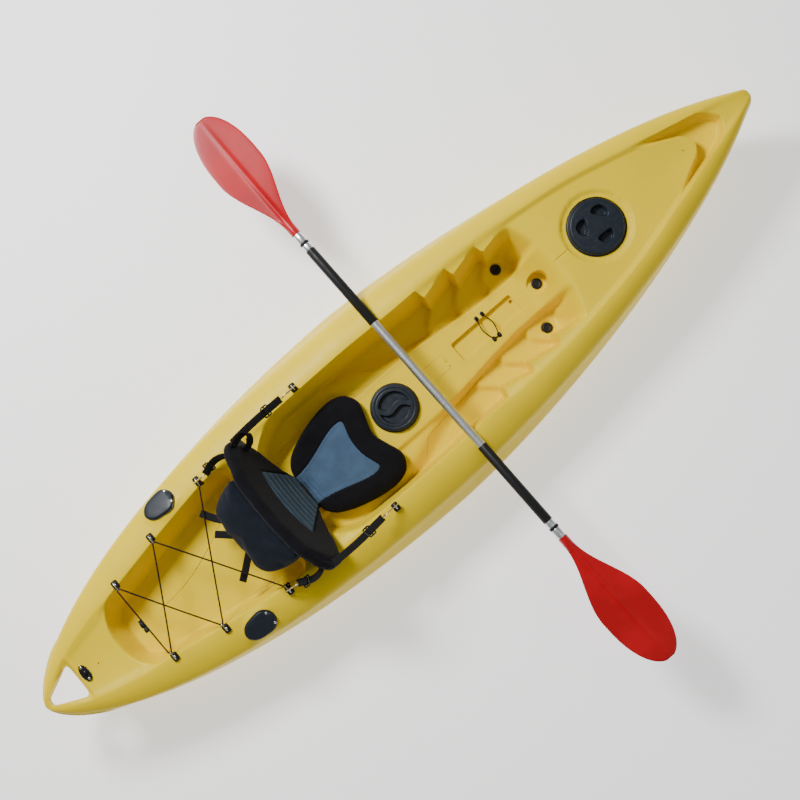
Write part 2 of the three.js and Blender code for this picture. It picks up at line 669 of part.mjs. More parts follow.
/** The seat cushion: a narrow neck at the backrest and a notch in front for the centre hatch. */
function cushion() {
  const half = [[-392, 0], [-392, 92], [-382, 124], [-345, 148], [-290, 168], [-225, 182], [-165, 184], [-117, 168],
    [-90, 122], [-94, 86], [-104, 52], [-117, 0]];
  const points = [...half, ...half.slice(1, -1).reverse().map(([x, y]) => [x, -y])];
  const low = SPINE_TOP + GAP;
  return prism(outline(points, 48), low, low + CUSHION_THICK).translate(0, SEAT_Y, 0);
}

/** Half width of the backrest at a height along its slope. */
function backHalf(h) {
  const t = h / BACK_HEIGHT;
  const wing = mix(116, WING, ease((t - 0.2) / 0.5));
  return wing * (1 - clamp((t - 0.78) / 0.22) ** 2.4 * 0.36);
}

/** How far a point of the backrest's front face stands forward of its middle: the wings wrap round. */
const wrap = (y) => 34 * (y / WING) ** 2;

function backrest() {
  const [rows, columns] = [13, 11];
  const at = (i, j, depth) => {
    const h = 6 + ((BACK_HEIGHT - 6) * i) / (rows - 1);
    const y = backHalf(h) * ((2 * j) / (columns - 1) - 1);
    return [wrap(y) - depth, y, h];
  };
  return slab(rows, columns, (i, j) => at(i, j, BACK_THICK), (i, j) => at(i, j, 0));
}

/** The pouch on the backrest's back, fuller at the middle than at its seams. */
function bag() {
  const [rows, columns] = [9, 9];
  const inner = (y) => Math.min(wrap(y), 0) - BACK_THICK - GAP;
  const at = (i, j, full) => {
    const [u, v] = [i / (rows - 1), (2 * j) / (columns - 1) - 1];
    const y = BAG.half * v;
    const bulge = (1 - v ** 4) * (1 - (2 * u - 1) ** 4);
    return [inner(y) - (full ? 16 + (BAG.deep - 16) * bulge : 0), y, mix(BAG.low, BAG.high, u)];
  };
  return slab(rows, columns, (i, j) => at(i, j, true), (i, j) => at(i, j, false));
}

/** A flat strap through the points, its width along the line across. */
function ribbon(points, across) {
  const path = new THREE.CatmullRomCurve3(points.map((p) => new THREE.Vector3(...p)));
  const steps = 12;
  const wide = new THREE.Vector3(...across).normalize().multiplyScalar(STRAP_WIDTH / 2);
  const at = (i, j, lift) => {
    const t = i / (steps - 1);
    const normal = path.getTangent(t).cross(wide).normalize().multiplyScalar(lift);
    return path.getPoint(t).addScaledVector(wide, 2 * j - 1).add(normal).toArray();
  };
  return slab(steps, 2, (i, j) => at(i, j, STRAP_THICK / 2), (i, j) => at(i, j, -STRAP_THICK / 2));
}

/** A point fixed to the backrest, given along its width, height and depth, in the kayak's frame. */
function onBack(y, h, depth) {
  const p = new THREE.Vector3(wrap(y) - depth, y, h).applyAxisAngle(new THREE.Vector3(0, 1, 0), -rad(RECLINE));
  return [p.x + HINGE.x, p.y + SEAT_Y, p.z + HINGE.z];
}

/** A snap hook: a wire loop through a pad eye, drawn out towards its strap. */
function snapHook(eye, end) {
  const hole = new THREE.Vector3(...eyePoint(eye, 8));
  const along = new THREE.Vector3(...end).sub(hole).normalize();
  const up = new THREE.Vector3(0, 1, 0).cross(along).normalize();
  if (up.z < 0) up.negate();
  // its lower wire runs through the bail's hole and its upper one over the bail
  const start = hole.clone().add(new THREE.Vector3(0, 0, 8 / up.z - 0.5));
  const length = 48;
  const wire = [[-12, 0], [-8, 6.5], [4, 8], [length - 8, 7], [length, 0], [length - 8, -7], [4, -8], [-8, -6.5]];
  const points = wire.map(([s, n]) => start.clone().addScaledVector(along, s).addScaledVector(up, n).toArray());
  return loop(points, 2, 16, 5);
}

/** A strap from the backrest to its hook: it ends inside the hook's far loop. */
function strapEnd(eye, from) {
  const start = new THREE.Vector3(...eyePoint(eye, 8));
  const along = new THREE.Vector3(...from).sub(start).normalize();
  return start.addScaledVector(along, 64).toArray();
}

// ---------------------------------------------------------------- paddle

const reach = PADDLE.bare / 2 + PADDLE.hold + PADDLE.ferrule;

function paddleShaft() {
  const [r, grip, end] = [PADDLE.shaft, PADDLE.bare / 2 + PADDLE.hold, reach];
  const half = [[r, grip + 1], [r + 1.6, grip + 2], [r + 1.6, end - 1], [r, end]];
  const profile = [[0, -end], ...half.map(([p, z]) => [p, -z]).reverse(), ...half, [0, end]];
  return turned(profile, 20).rotateX(Math.PI / 2);
}

function paddleGrip(side) {
  const [inner, outer] = [PADDLE.bare / 2 + GAP, PADDLE.bare / 2 + PADDLE.hold];
  const bore = PADDLE.shaft + GAP;
  return turned([[bore, inner], [PADDLE.grip, inner], [PADDLE.grip, outer], [bore, outer], [bore, inner]], 20)
    .rotateX(-side * (Math.PI / 2));
}

/** A blade: an oval, flat in plan, with a rib down its middle and a round neck at the ferrule. */
function paddleBlade(side) {
  const [rows, columns] = [17, 9];
  const at = (i, j, face) => {
    const t = i / (rows - 1);
    const s = (2 * j) / (columns - 1) - 1;
    const round = (1 - clamp((t - 0.62) / 0.385) ** 2.3) ** 0.5;
    const half = mix(BLADE.neck, BLADE.width / 2, ease((t - 0.06) / 0.52)) * round;
    const flat = ease((t - 0.02) / 0.14);
    const rib = 5 * Math.exp(-(((s * half) / 9) ** 2)) * (1 - t) * flat;
    const thick = mix(BLADE.neck * Math.sqrt(1 - 0.86 * s * s), BLADE.thick / 2 + rib, flat);
    return [half * s + 7 * t * t, side * (reach + GAP + BLADE.length * t), face * thick];
  };
  const [upper, lower] = side > 0 ? [-1, 1] : [1, -1];
  return slab(rows, columns, (i, j) => at(i, j, upper), (i, j) => at(i, j, lower));
}

// ---------------------------------------------------------------- assembly

add("hull", hullGeometry(), YELLOW);

add("bow_hatch_rim", hatchRim(BOW_HATCH), CHARCOAL);
add("bow_hatch_lid", hatchLid(BOW_HATCH, bowScoops), CHARCOAL);
add("centre_hatch_rim", hatchRim(CENTRE_HATCH), CHARCOAL);
add("centre_hatch_lid", hatchLid(CENTRE_HATCH, centreScoops), CHARCOAL);

const SIDES = [[1, "port"], [-1, "starboard"]];

for (const [side, word] of SIDES) {
  const frame = rodFrame(side);
  group.add(frame);
  add(`rod_holder_${word}`, rodHolder(), CHARCOAL, frame);
  add(`rod_cap_${word}`, rodCap(), RUBBER, frame);
  for (const [name] of EYES) {
    add(`pad_eye_${name}_${word}`, padEye(eyePlace(name, side), name === "seat_fore" ? 8 : LINK), STEEL);
  }
}

add("tank_lacing", lacing(), BLACK);
add("cord_lock", cordLock(), RUBBER);
add("tray_cord", trayCord(), BLACK);

for (const { name, x, y, recess } of SCUPPERS) {
  const plug = scupperPlug(SCUPPER_R, PLUG_FLANGE).translate(x, y, plugSeat(x, y, recess) + 1 + GAP);
  add(`scupper_plug_${name}`, plug, RUBBER);
}
add("drain_plug", turned([[0, 0], [15, 0], [15, 4], [9, 7], [0, 7]], 18)
  .scale(1, 2, 1).translate(-1307, 0, deckHeight(-1307, 0) + 2.5), STEEL);

add("seat_cushion", cushion(), BLACK);
const back = new THREE.Group();
back.position.set(HINGE.x, SEAT_Y, HINGE.z);
back.rotation.set(0, -rad(RECLINE), 0);
group.add(back);
add("seat_back", backrest(), BLUE_GREY, back);
add("seat_pouch", bag(), BLACK, back);

for (const [side, word] of SIDES) {
  const foreEye = eyePlace("seat_fore", side);
  const foreTop = onBack(side * (WING - 16), STRAP_TOPS.fore, -8);
  const foreEnd = strapEnd(foreEye, foreTop);
  add(`strap_front_${word}`, ribbon([foreTop, foreEnd], [0, side, 0.2]), BLACK);
  add(`hook_front_${word}`, snapHook(foreEye, foreEnd), BRASS);
  const aftEye = eyePlace("tank_fore", side);
  const aftTop = onBack(side * (WING - 30), STRAP_TOPS.aft, BACK_THICK + 8);
  const aftEnd = strapEnd(aftEye, aftTop);
  add(`strap_rear_${word}`, ribbon([aftTop, aftEnd], [0, side, 0.2]), BLACK);
  add(`hook_rear_${word}`, snapHook(aftEye, aftEnd), BRASS);
}

const paddle = new THREE.Group();
paddle.position.set(PADDLE.x, PADDLE.y, deckHeight(PADDLE.x, crest(PADDLE.x)) + PADDLE.grip + GAP);
group.add(paddle);
add("paddle_shaft", paddleShaft(), SILVER, paddle);
for (const [side, word] of SIDES) {
  add(`paddle_grip_${word}`, paddleGrip(side), BLACK, paddle);
  add(`paddle_blade_${word}`, paddleBlade(side), RED, paddle);
}

export default group;
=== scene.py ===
"""Looks of a moulded sit-on-top fishing kayak with a clip-in seat and its paddle laid across the rails.

Frame: metres, +X to the bow, +Y to port, +Z up, the origin on the floor under the middle of the keel. Sizes
in the classes are millimetres; each mesh is scaled to metres as it is made.
"""

import logging
import math
from collections.abc import Iterable
from dataclasses import dataclass, replace
from enum import Enum

import bmesh
import bpy
import numpy as np
from mathutils import Matrix, Vector

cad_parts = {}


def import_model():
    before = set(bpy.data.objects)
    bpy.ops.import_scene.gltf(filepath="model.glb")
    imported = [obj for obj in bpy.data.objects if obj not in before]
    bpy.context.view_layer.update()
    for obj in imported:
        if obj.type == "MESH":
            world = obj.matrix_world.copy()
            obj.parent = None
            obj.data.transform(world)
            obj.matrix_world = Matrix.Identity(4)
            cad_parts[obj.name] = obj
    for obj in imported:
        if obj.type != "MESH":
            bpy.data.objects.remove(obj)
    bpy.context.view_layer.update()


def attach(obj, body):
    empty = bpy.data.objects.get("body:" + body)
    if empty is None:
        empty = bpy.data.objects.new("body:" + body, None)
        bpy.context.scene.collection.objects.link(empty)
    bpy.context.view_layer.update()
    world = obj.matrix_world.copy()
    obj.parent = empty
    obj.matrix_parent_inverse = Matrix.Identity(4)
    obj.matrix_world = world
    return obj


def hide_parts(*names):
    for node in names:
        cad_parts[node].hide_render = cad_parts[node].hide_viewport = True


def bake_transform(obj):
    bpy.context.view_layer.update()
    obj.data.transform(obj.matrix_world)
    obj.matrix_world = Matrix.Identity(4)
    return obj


MM = 0.001
REST_GAP = 0.3  # millimetres left between pieces that rest on each other
SIDES: tuple[tuple[int, str], ...] = ((1, "port"), (-1, "starboard"))
log = logging.getLogger("kayak")


class Body(Enum):
    """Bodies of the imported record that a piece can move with."""

    KAYAK = "kayak"
    BOW_LID = "bow_lid"
    CENTRE_LID = "centre_lid"
    CAP_PORT = "cap_port"
    CAP_STARBOARD = "cap_starboard"
    BACKREST = "backrest"
    PADDLE = "paddle"


class Slot(Enum):
    """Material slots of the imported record."""

    MOULDING = "moulding"
    HATCH = "hatch_plastic"
    RUBBER = "black_rubber"
    PAD_EYE = "pad_eye_black"
    CORD = "cord"
    WEBBING = "webbing"
    BRASS = "hook_brass"
    SEAT_BLACK = "seat_black"
    SEAT_GREY = "seat_grey"
    STEEL = "steel"
    TUBE = "paddle_tube"
    HOLD = "paddle_hold"
    BLADE = "blade_red"


# ---------------------------------------------------------------- numbers


def clamp(t: np.ndarray) -> np.ndarray:
    """t held between 0 and 1."""
    return np.clip(t, 0.0, 1.0)


def ease(t: np.ndarray) -> np.ndarray:
    """Smooth step: 3t^2 - 2t^3 of t held between 0 and 1."""
    c = clamp(t)
    return c * c * (3 - 2 * c)


def mix(a: np.ndarray, b: np.ndarray, t: np.ndarray) -> np.ndarray:
    """The value a share t of the way from a to b."""
    return a + (b - a) * t


def distances(points: np.ndarray) -> np.ndarray:
    """Distance along a line at each of its points, from 0."""
    return np.concatenate([[0], np.cumsum(np.linalg.norm(np.diff(points, axis=0), axis=1))])


def spline(points: np.ndarray, count: int, closed: bool = False) -> np.ndarray:
    """Points evenly spaced along a centripetal Catmull-Rom curve.

    Args:
        points: (k, 3) points that the curve passes through.
        count: number of points wanted.
        closed: whether the curve returns to its first point, which isn't repeated.

    Returns:
        A (count, 3) array.
    """
    p = np.asarray(points, float)
    if closed:
        p = np.vstack([p[-1], p, p[0], p[1]])
    else:
        p = np.vstack([2 * p[0] - p[1], p, 2 * p[-1] - p[-2]])
    fine = []
    for i in range(1, len(p) - 2):
        chords = np.linalg.norm(np.diff(p[i - 1 : i + 3], axis=0), axis=1)
        knots = np.cumsum([0, *np.maximum(chords, 1e-6) ** 0.5])
        t = np.linspace(knots[1], knots[2], 24, endpoint=False)[:, None]
        a = [
            ((knots[k + 1] - t) * p[i - 1 + k] + (t - knots[k]) * p[i + k]) / (knots[k + 1] - knots[k])
            for k in range(3)
        ]
        b = [
            ((knots[k + 2] - t) * a[k] + (t - knots[k]) * a[k + 1]) / (knots[k + 2] - knots[k])
            for k in range(2)
        ]
        fine.append(((knots[2] - t) * b[0] + (t - knots[1]) * b[1]) / (knots[2] - knots[1]))
    line = np.vstack([*fine, p[-2:-1]])
    run = distances(line)
    want = np.linspace(0, run[-1], count, endpoint=not closed)
    return np.stack([np.interp(want, run, line[:, k]) for k in range(3)], axis=1)


def turned_about(points: np.ndarray, axis: tuple[float, float, float], degrees: float) -> np.ndarray:
    """Points turned about an axis through the origin.

    Args:
        points: (..., 3) points.
        axis: direction of the axis.
        degrees: angle, right-handed.

    Returns:
        The turned points, in the same shape.
    """
    turn = np.array(Matrix.Rotation(math.radians(degrees), 3, Vector(axis)))
    return np.asarray(points, float) @ turn.T


# ---------------------------------------------------------------- meshes


def linked(name: str, data: bpy.types.ID) -> bpy.types.Object:
    """A new object of that data, in the scene."""
    made = bpy.data.objects.new(name, data)
    bpy.context.scene.collection.objects.link(made)
    return made


def mesh_object(name: str, verts: np.ndarray, faces: list[list[int]]) -> bpy.types.Object:
    """A smooth mesh object with its normals facing outwards.

    Args:
        name: name of the object.
        verts: (n, 3) points in millimetres.
        faces: lists of vertex indices.

    Returns:
        The object, at the origin.
    """
    mesh = bpy.data.meshes.new(name)
    mesh.from_pydata((np.asarray(verts, float) * MM).tolist(), [], [list(f) for f in faces])
    bm = bmesh.new()
    bm.from_mesh(mesh)
    bmesh.ops.remove_doubles(bm, verts=bm.verts, dist=1e-7)
    bmesh.ops.recalc_face_normals(bm, faces=bm.faces)
    bm.to_mesh(mesh)
    bm.free()
    mesh.shade_smooth()
    return linked(name, mesh)


def grid_faces(
    rows: int, columns: int, close_rows: bool = False, close_columns: bool = False, base: int = 0
) -> list[list[int]]:
    """Quads of a grid of vertices numbered row by row.

    Args:
        rows: number of rows.
        columns: number of columns.
        close_rows: whether the last row joins the first.
        close_columns: whether the last column joins the first.
        base: number of the grid's first vertex.

    Returns:
        Lists of four vertex indices.
    """
    i = np.arange(rows if close_rows else rows - 1)[:, None]
    j = np.arange(columns if close_columns else columns - 1)[None, :]
    i2, j2 = (i + 1) % rows, (j + 1) % columns
    corners = (i * columns + j, i2 * columns + j, i2 * columns + j2, i * columns + j2)
    return (np.stack(np.broadcast_arrays(*corners), -1).reshape(-1, 4) + base).tolist()


def surface(
    name: str, grid: np.ndarray, ring: bool = False, loop: bool = False, caps: bool = False
) -> bpy.types.Object:
    """A mesh over a grid of points.

    Args:
        name: name of the object.
        grid: (rows, columns, 3) points in millimetres.
        ring: whether each row closes on itself.
        loop: whether the last row joins the first.
        caps: whether the first and last rows are filled.

    Returns:
        The object.
    """
    rows, columns = grid.shape[:2]
    faces = grid_faces(rows, columns, loop, ring)
    if caps:
        faces += [list(range(columns)), list(range((rows - 1) * columns, rows * columns))]
    return mesh_object(name, grid.reshape(-1, 3), faces)


def solid(name: str, grid: np.ndarray) -> bpy.types.Object:
    """A closed piece over rings of points, with its first and last rings filled."""
    return surface(name, grid, ring=True, caps=True)


def shell(name: str, front: np.ndarray, back: np.ndarray) -> bpy.types.Object:
    """A closed piece between two sheets of points, joined round their edges.

    Args:
        name: name of the object.
        front: (rows, columns, 3) points in millimetres.
        back: points in the same shape.

    Returns:
        The object.
    """
    rows, columns = front.shape[:2]
    count = rows * columns
    faces = grid_faces(rows, columns) + grid_faces(rows, columns, base=count)
    rim = [*range(columns), *(i * columns + columns - 1 for i in range(1, rows))]
    rim += [(rows - 1) * columns + j for j in range(columns - 2, -1, -1)]
    rim += [i * columns for i in range(rows - 2, 0, -1)]
    faces += [[a, b, b + count, a + count] for a, b in zip(rim, rim[1:] + rim[:1], strict=True)]
    return mesh_object(name, np.concatenate([front.reshape(-1, 3), back.reshape(-1, 3)]), faces)


def layered(layers: Iterable[tuple[np.ndarray, float]]) -> np.ndarray:
    """A grid of points from (n, 2) outlines, each at its height."""
    return np.stack([np.column_stack([outline, np.full(len(outline), z)]) for outline, z in layers])


def revolved(
    name: str, profile: list[tuple[float, float]], place: np.ndarray, segments: int
) -> bpy.types.Object:
    """A turned piece about Z.

    Args:
        name: name of the object.
        profile: [radius, height] pairs from its foot to its top.
        place: 4 by 4 matrix in millimetres that puts it in its place.
        segments: number of sides.

    Returns:
        The object. A ring profile that ends where it starts gives a closed ring.
    """
    p = np.array(profile, float)
    a = np.linspace(0, 2 * np.pi, segments, endpoint=False)
    grid = np.stack(
        [p[:, :1] * np.cos(a), p[:, :1] * np.sin(a), np.broadcast_to(p[:, 1:], (len(p), segments))], axis=-1
    )
    return surface(name, placed(grid, place), ring=True)


def placed(points: np.ndarray, place: np.ndarray) -> np.ndarray:
    """Points put in their place by a 4 by 4 matrix."""
    return points @ place[:3, :3].T + place[:3, 3]


def at(x: float, y: float, z: float, turn: float = 0.0, about: str = "Z") -> np.ndarray:
    """A matrix that turns about an axis by degrees and then moves to (x, y, z)."""
    m = np.eye(4)
    m[:3, :3] = np.array(Matrix.Rotation(math.radians(turn), 3, about))
    m[:3, 3] = (x, y, z)
    return m


def sweep_grid(
    path: np.ndarray, section: np.ndarray, side: np.ndarray | None = None, scale: np.ndarray | None = None
) -> np.ndarray:
    """Points of a section carried along a path.

    Args:
        path: (n, 3) points.
        section: (m, 2) points, the first number along the side direction and the second along its normal.
        side: (n, 3) or (3,) directions that the section's first number points along, or None for no twist.
        scale: (n,) factors on the section.

    Returns:
        An (n, m, 3) array.
    """
    tangent = np.gradient(path, axis=0)
    tangent /= np.maximum(np.linalg.norm(tangent, axis=1, keepdims=True), 1e-9)
    if side is None:
        first = np.cross(tangent[0], [0, 0, 1] if abs(tangent[0][2]) < 0.9 else [1, 0, 0])
        frames = [first / np.linalg.norm(first)]
        for t in tangent[1:]:
            s = frames[-1] - t * np.dot(frames[-1], t)
            frames.append(s / np.linalg.norm(s))
        side = np.array(frames)
    else:
        side = np.broadcast_to(np.asarray(side, float), path.shape).copy()
        side -= tangent * np.sum(side * tangent, axis=1, keepdims=True)
        side /= np.linalg.norm(side, axis=1, keepdims=True)
    normal = np.cross(tangent, side)
    k = np.ones(len(path)) if scale is None else scale
    return (
        path[:, None]
        + (k[:, None] * section[None, :, 0])[..., None] * side[:, None]
        + (k[:, None] * section[None, :, 1])[..., None] * normal[:, None]
    )


def round_section(radius: float, count: int = 16) -> np.ndarray:
    """A circle of points as a section."""
    a = np.linspace(0, 2 * np.pi, count, endpoint=False)
    return radius * np.stack([np.cos(a), np.sin(a)], axis=1)


def flat_section(width: float, thick: float, count: int = 7) -> np.ndarray:
    """A flat strap's section with round edges."""
    a = np.linspace(-np.pi / 2, np.pi / 2, count)
    edge = np.stack([width / 2 - thick / 2 + thick / 2 * np.cos(a), thick / 2 * np.sin(a)], axis=1)
    return np.vstack([edge, -edge])


def joined(name: str, parts: list[bpy.types.Object]) -> bpy.types.Object:
    """One mesh object of several, which are removed.

    Args:
        name: name of the joined object.
        parts: objects with no modifiers, all at the origin.

    Returns:
        The joined object.
    """
    bm = bmesh.new()
    for part in parts:
        bm.from_mesh(part.data)
    mesh = bpy.data.meshes.new(name)
    bm.to_mesh(mesh)
    bm.free()
    for part in parts:
        drop(part)
    return linked(name, mesh)


def drop(thing: bpy.types.Object) -> None:
    """Removes an object and its mesh."""
    mesh = thing.data
    bpy.data.objects.remove(thing)
    bpy.data.meshes.remove(mesh)


def bake(thing: bpy.types.Object) -> None:
    """Applies every modifier of an object to its mesh."""
    evaluated = thing.evaluated_get(bpy.context.evaluated_depsgraph_get())
    mesh = bpy.data.meshes.new_from_object(evaluated)
    old = thing.data
    thing.modifiers.clear()
    thing.data = mesh
    bpy.data.meshes.remove(old)


def carve(body: bpy.types.Object, tools: list[bpy.types.Object]) -> None:
    """Cuts each closed tool out of a closed body and removes the tools."""
    for tool in tools:
        cut = body.modifiers.new("cut", "BOOLEAN")
        cut.operation = "DIFFERENCE"
        cut.solver = "MANIFOLD"
        cut.object = tool
    bake(body)
    for tool in tools:
        drop(tool)


def crisp(thing: bpy.types.Object, degrees: float = 45.0) -> None:
    """Smooth shading that stays sharp across edges steeper than the angle."""
    thing.data.shade_smooth()
    thing.data.set_sharp_from_angle(angle=math.radians(degrees))


def point_attribute(thing: bpy.types.Object, name: str, values: np.ndarray) -> None:
    """Stores a vector for each vertex of an object's mesh, for its material to read."""
    held = thing.data.attributes.new(name, "FLOAT_VECTOR", "POINT")
    held.data.foreach_set("vector", np.asarray(values, np.float32).ravel())


def coordinates(thing: bpy.types.Object) -> np.ndarray:
    """The (n, 3) vertices of an object's mesh, in millimetres."""
    co = np.empty(len(thing.data.vertices) * 3, np.float32)
    thing.data.vertices.foreach_get("co", co)
    return co.reshape(-1, 3).astype(float) / MM


def set_coordinates(thing: bpy.types.Object, points: np.ndarray) -> None:
    """Moves the vertices of an object's mesh to points in millimetres."""
    thing.data.vertices.foreach_set("co", (points * MM).astype(np.float32).ravel())
    thing.data.update()


def closed_tube(path: np.ndarray, radius: float, count: int) -> np.ndarray:
    """Rings of a round wire along a closed path that lies near a plane.

    Args:
        path: (n, 3) points that don't repeat the first.
        radius: of the wire.
        count: points round each ring.

    Returns:
        An (n, count, 3) array.
    """
    tangent = np.roll(path, -1, axis=0) - np.roll(path, 1, axis=0)
    tangent /= np.linalg.norm(tangent, axis=1, keepdims=True)
    spread = path - path.mean(axis=0)
    normal = np.linalg.svd(spread, full_matrices=False)[2][2]
    side = np.cross(tangent, normal)
    side /= np.linalg.norm(side, axis=1, keepdims=True)
    up = np.cross(side, tangent)
    ring = round_section(radius, count)
    return path[:, None] + ring[None, :, :1] * side[:, None] + ring[None, :, 1:] * up[:, None]


def ring_wire(name: str, path: np.ndarray, radius: float, count: int = 8) -> bpy.types.Object:
    """A round wire along a closed path."""
    return surface(name, closed_tube(path, radius, count), ring=True, loop=True)


def bar(name: str, path: np.ndarray, radius: float, count: int = 8) -> bpy.types.Object:
    """A round bar along an open path."""
    return solid(name, sweep_grid(path, round_section(radius, count)))


def woven(
    name: str, path: np.ndarray, section: np.ndarray, side: np.ndarray | None = None
) -> bpy.types.Object:
    """A cord or strap along a path, with its weave's (along, across) millimetres stored on it.

    Args:
        name: name of the object.
        path: (n, 3) points.
        section: (m, 2) points round the section.
        side: direction of the section's first number.

    Returns:
        The object.
    """
    thing = solid(name, sweep_grid(path, section, side))
    if len(thing.data.vertices) == len(path) * len(section):
        u, v = np.meshgrid(distances(path), distances(section), indexing="ij")
        point_attribute(thing, "weave", np.stack([u.ravel(), v.ravel(), 0 * u.ravel()], axis=1))
    else:
        log.warning("%s: its weave isn't stored", name)
    return thing


def joined_woven(name: str, parts: list[bpy.types.Object]) -> bpy.types.Object:
    """One object of several straps, keeping the weave stored on each."""
    values = []
    for part in parts:
        held = np.zeros(len(part.data.vertices) * 3, np.float32)
        if "weave" in part.data.attributes:
            part.data.attributes["weave"].data.foreach_get("vector", held)
            part.data.attributes.remove(part.data.attributes["weave"])
        values.append(held.reshape(-1, 3))
    made = joined(name, parts)
    made.data.shade_smooth()
    point_attribute(made, "weave", np.concatenate(values))
    return made


def screw(place: np.ndarray, radius: float) -> bpy.types.Object:
    """A pan-headed screw with a cross slot, its head's foot at the place.

    Args:
        place: 4 by 4 matrix in millimetres.
        radius: radius of the head.

    Returns:
        The screw.
    """
    r = radius
    dome = [(r, 0.1 * r), (0.93 * r, 0.32 * r), (0.75 * r, 0.47 * r), (0.4 * r, 0.56 * r)]
    head = revolved("screw", [(0.01, -0.6), (r, -0.6), *dome, (0.01, 0.58 * r)], place, 28)
    long, wide = 0.62 * r, 0.11 * r
    cross = np.array([
        (long, wide), (wide, wide), (wide, long), (-wide, long), (-wide, wide), (-long, wide),
        (-long, -wide), (-wide, -wide), (-wide, -long), (wide, -long), (wide, -wide), (long, -wide),
    ])
    carve(head, [solid("slot", placed(layered([(cross, 0.25 * r), (cross, r)]), place))])
    crisp(head, 30)
    return head


def dress(
    thing: bpy.types.Object, material: bpy.types.Material, slot: Slot, body: Body | None, *nodes: str
) -> bpy.types.Object:
    """Gives a piece its material and body, and hides the CAD nodes that it stands for.

    Args:
        thing: the piece.
        material: its material.
        slot: the record's slot that the material belongs to; not used.
        body: the body it moves with, or None for a piece between two bodies, which is attached to neither.
        nodes: CAD nodes it stands for.

    Returns:
        The piece.
    """
    thing.data.materials.clear()
    thing.data.materials.append(material)
    if nodes:
        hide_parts(*nodes)
    if body is not None:
        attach(thing, body.value)
    log.info("%s: %d faces", thing.name, len(thing.data.polygons))
    return thing


# ---------------------------------------------------------------- finishes


class Shader:
    """Adds nodes to one new material."""

    def __init__(self, name: str) -> None:
        """Starts a material with a Principled shader."""
        self.material = bpy.data.materials.new(name)
        self.material.use_nodes = True
        self.tree = self.material.node_tree
        self.bsdf = self.tree.nodes["Principled BSDF"]

    def node(self, kind: str, **settings: object) -> bpy.types.Node:
        """A new node with its settings set."""
        made = self.tree.nodes.new(kind)
        for key, value in settings.items():
            setattr(made, key, value)
        return made

    def feed(self, node: bpy.types.Node, socket: str | int, value: object) -> None:
        """Links a socket to another node's output, or sets it to a number or colour."""
        if isinstance(value, bpy.types.NodeSocket):
            self.tree.links.new(value, node.inputs[socket])
        else:
            node.inputs[socket].default_value = value

    def place(self, attribute: str | None = None) -> bpy.types.NodeSocket:
        """Object coordinates in metres, or a vector stored on the mesh."""
        if attribute is None:
            return self.node("ShaderNodeTexCoord").outputs["Object"]
        return self.node("ShaderNodeAttribute", attribute_name=attribute).outputs["Vector"]

    def axis(self, vector: bpy.types.NodeSocket, which: str) -> bpy.types.NodeSocket:
        """One of X, Y and Z of a vector."""
        made = self.node("ShaderNodeSeparateXYZ")
        self.feed(made, 0, vector)
        return made.outputs[which]

    def math(self, operation: str, a: object, b: object = 0.0, c: object = 0.0) -> bpy.types.NodeSocket:
        """A Math node's result."""
        made = self.node("ShaderNodeMath", operation=operation)
        for k, value in enumerate((a, b, c)):
            self.feed(made, k, value)
        return made.outputs[0]

    def noise(self, vector: bpy.types.NodeSocket, scale: float, detail: float = 2.0) -> bpy.types.NodeSocket:
        """Noise between 0 and 1."""
        made = self.node("ShaderNodeTexNoise")
        for key, value in (("Vector", vector), ("Scale", scale), ("Detail", detail)):
            self.feed(made, key, value)
        return made.outputs[0]

    def span(
        self, value: object, low: float, high: float, to_low: float = 0.0, to_high: float = 1.0
    ) -> bpy.types.NodeSocket:
        """A smooth map of a value from one range to another, held at its ends."""
        made = self.node("ShaderNodeMapRange", interpolation_type="SMOOTHSTEP")
        for key, number in enumerate((value, low, high, to_low, to_high)):
            self.feed(made, key, number)
        return made.outputs[0]

    def blend(self, share: object, a: object, b: object) -> bpy.types.NodeSocket:
        """A colour a share of the way from a to b."""
        made = self.node("ShaderNodeMix", data_type="RGBA")
        for key, value in ((0, share), (6, a), (7, b)):
            self.feed(made, key, value)
        return made.outputs[2]

    def bump(self, height: bpy.types.NodeSocket, millimetres: float, strength: float = 1.0) -> None:
        """Adds a relief of that depth to the shader's normal, over any relief before it."""
        made = self.node("ShaderNodeBump")
        before = self.bsdf.inputs["Normal"]
        if before.is_linked:
            self.feed(made, "Normal", before.links[0].from_socket)
        for key, value in (("Height", height), ("Distance", millimetres * MM), ("Strength", strength)):
            self.feed(made, key, value)
        self.tree.links.new(made.outputs[0], before)

    def set(self, **values: object) -> None:
        """Feeds the shader's own inputs, with _ standing for a space in their names."""
        for key, value in values.items():
            self.feed(self.bsdf, key.replace("_", " "), value)


Colour = tuple[float, float, float]


def rgba(colour: Colour, gain: float = 1.0) -> tuple[float, float, float, float]:
    """A colour with its alpha, brighter by a gain."""
    return (*(min(1.0, c * gain) for c in colour), 1.0)


@dataclass(frozen=True)
class MouldedPlastic:
    """Rotationally moulded polyethylene: a deep colour, a satin face and a fine orange peel."""

    name: str = "moulded_yellow"
    colour: Colour = (0.85, 0.615, 0.0)
    roughness: float = 0.42
    peel_mm: float = 0.5

    def build(self) -> bpy.types.Material:
        """The material."""
        s = Shader(self.name)
        place = s.place()
        tone = s.noise(place, 5.0, 3)
        s.set(Base_Color=s.blend(s.span(tone, 0.3, 0.7), rgba(self.colour, 0.965), rgba(self.colour, 1.03)))
        wear = s.noise(place, 38.0, 4)
        s.set(Roughness=s.span(wear, 0.25, 0.75, self.roughness - 0.05, self.roughness + 0.08), IOR=1.5)
        s.set(Specular_IOR_Level=0.2)
        s.bump(s.noise(place, 420.0, 2), self.peel_mm, 0.18)
        s.bump(s.noise(place, 16.0, 2), 3.0, 0.12)
        return s.material


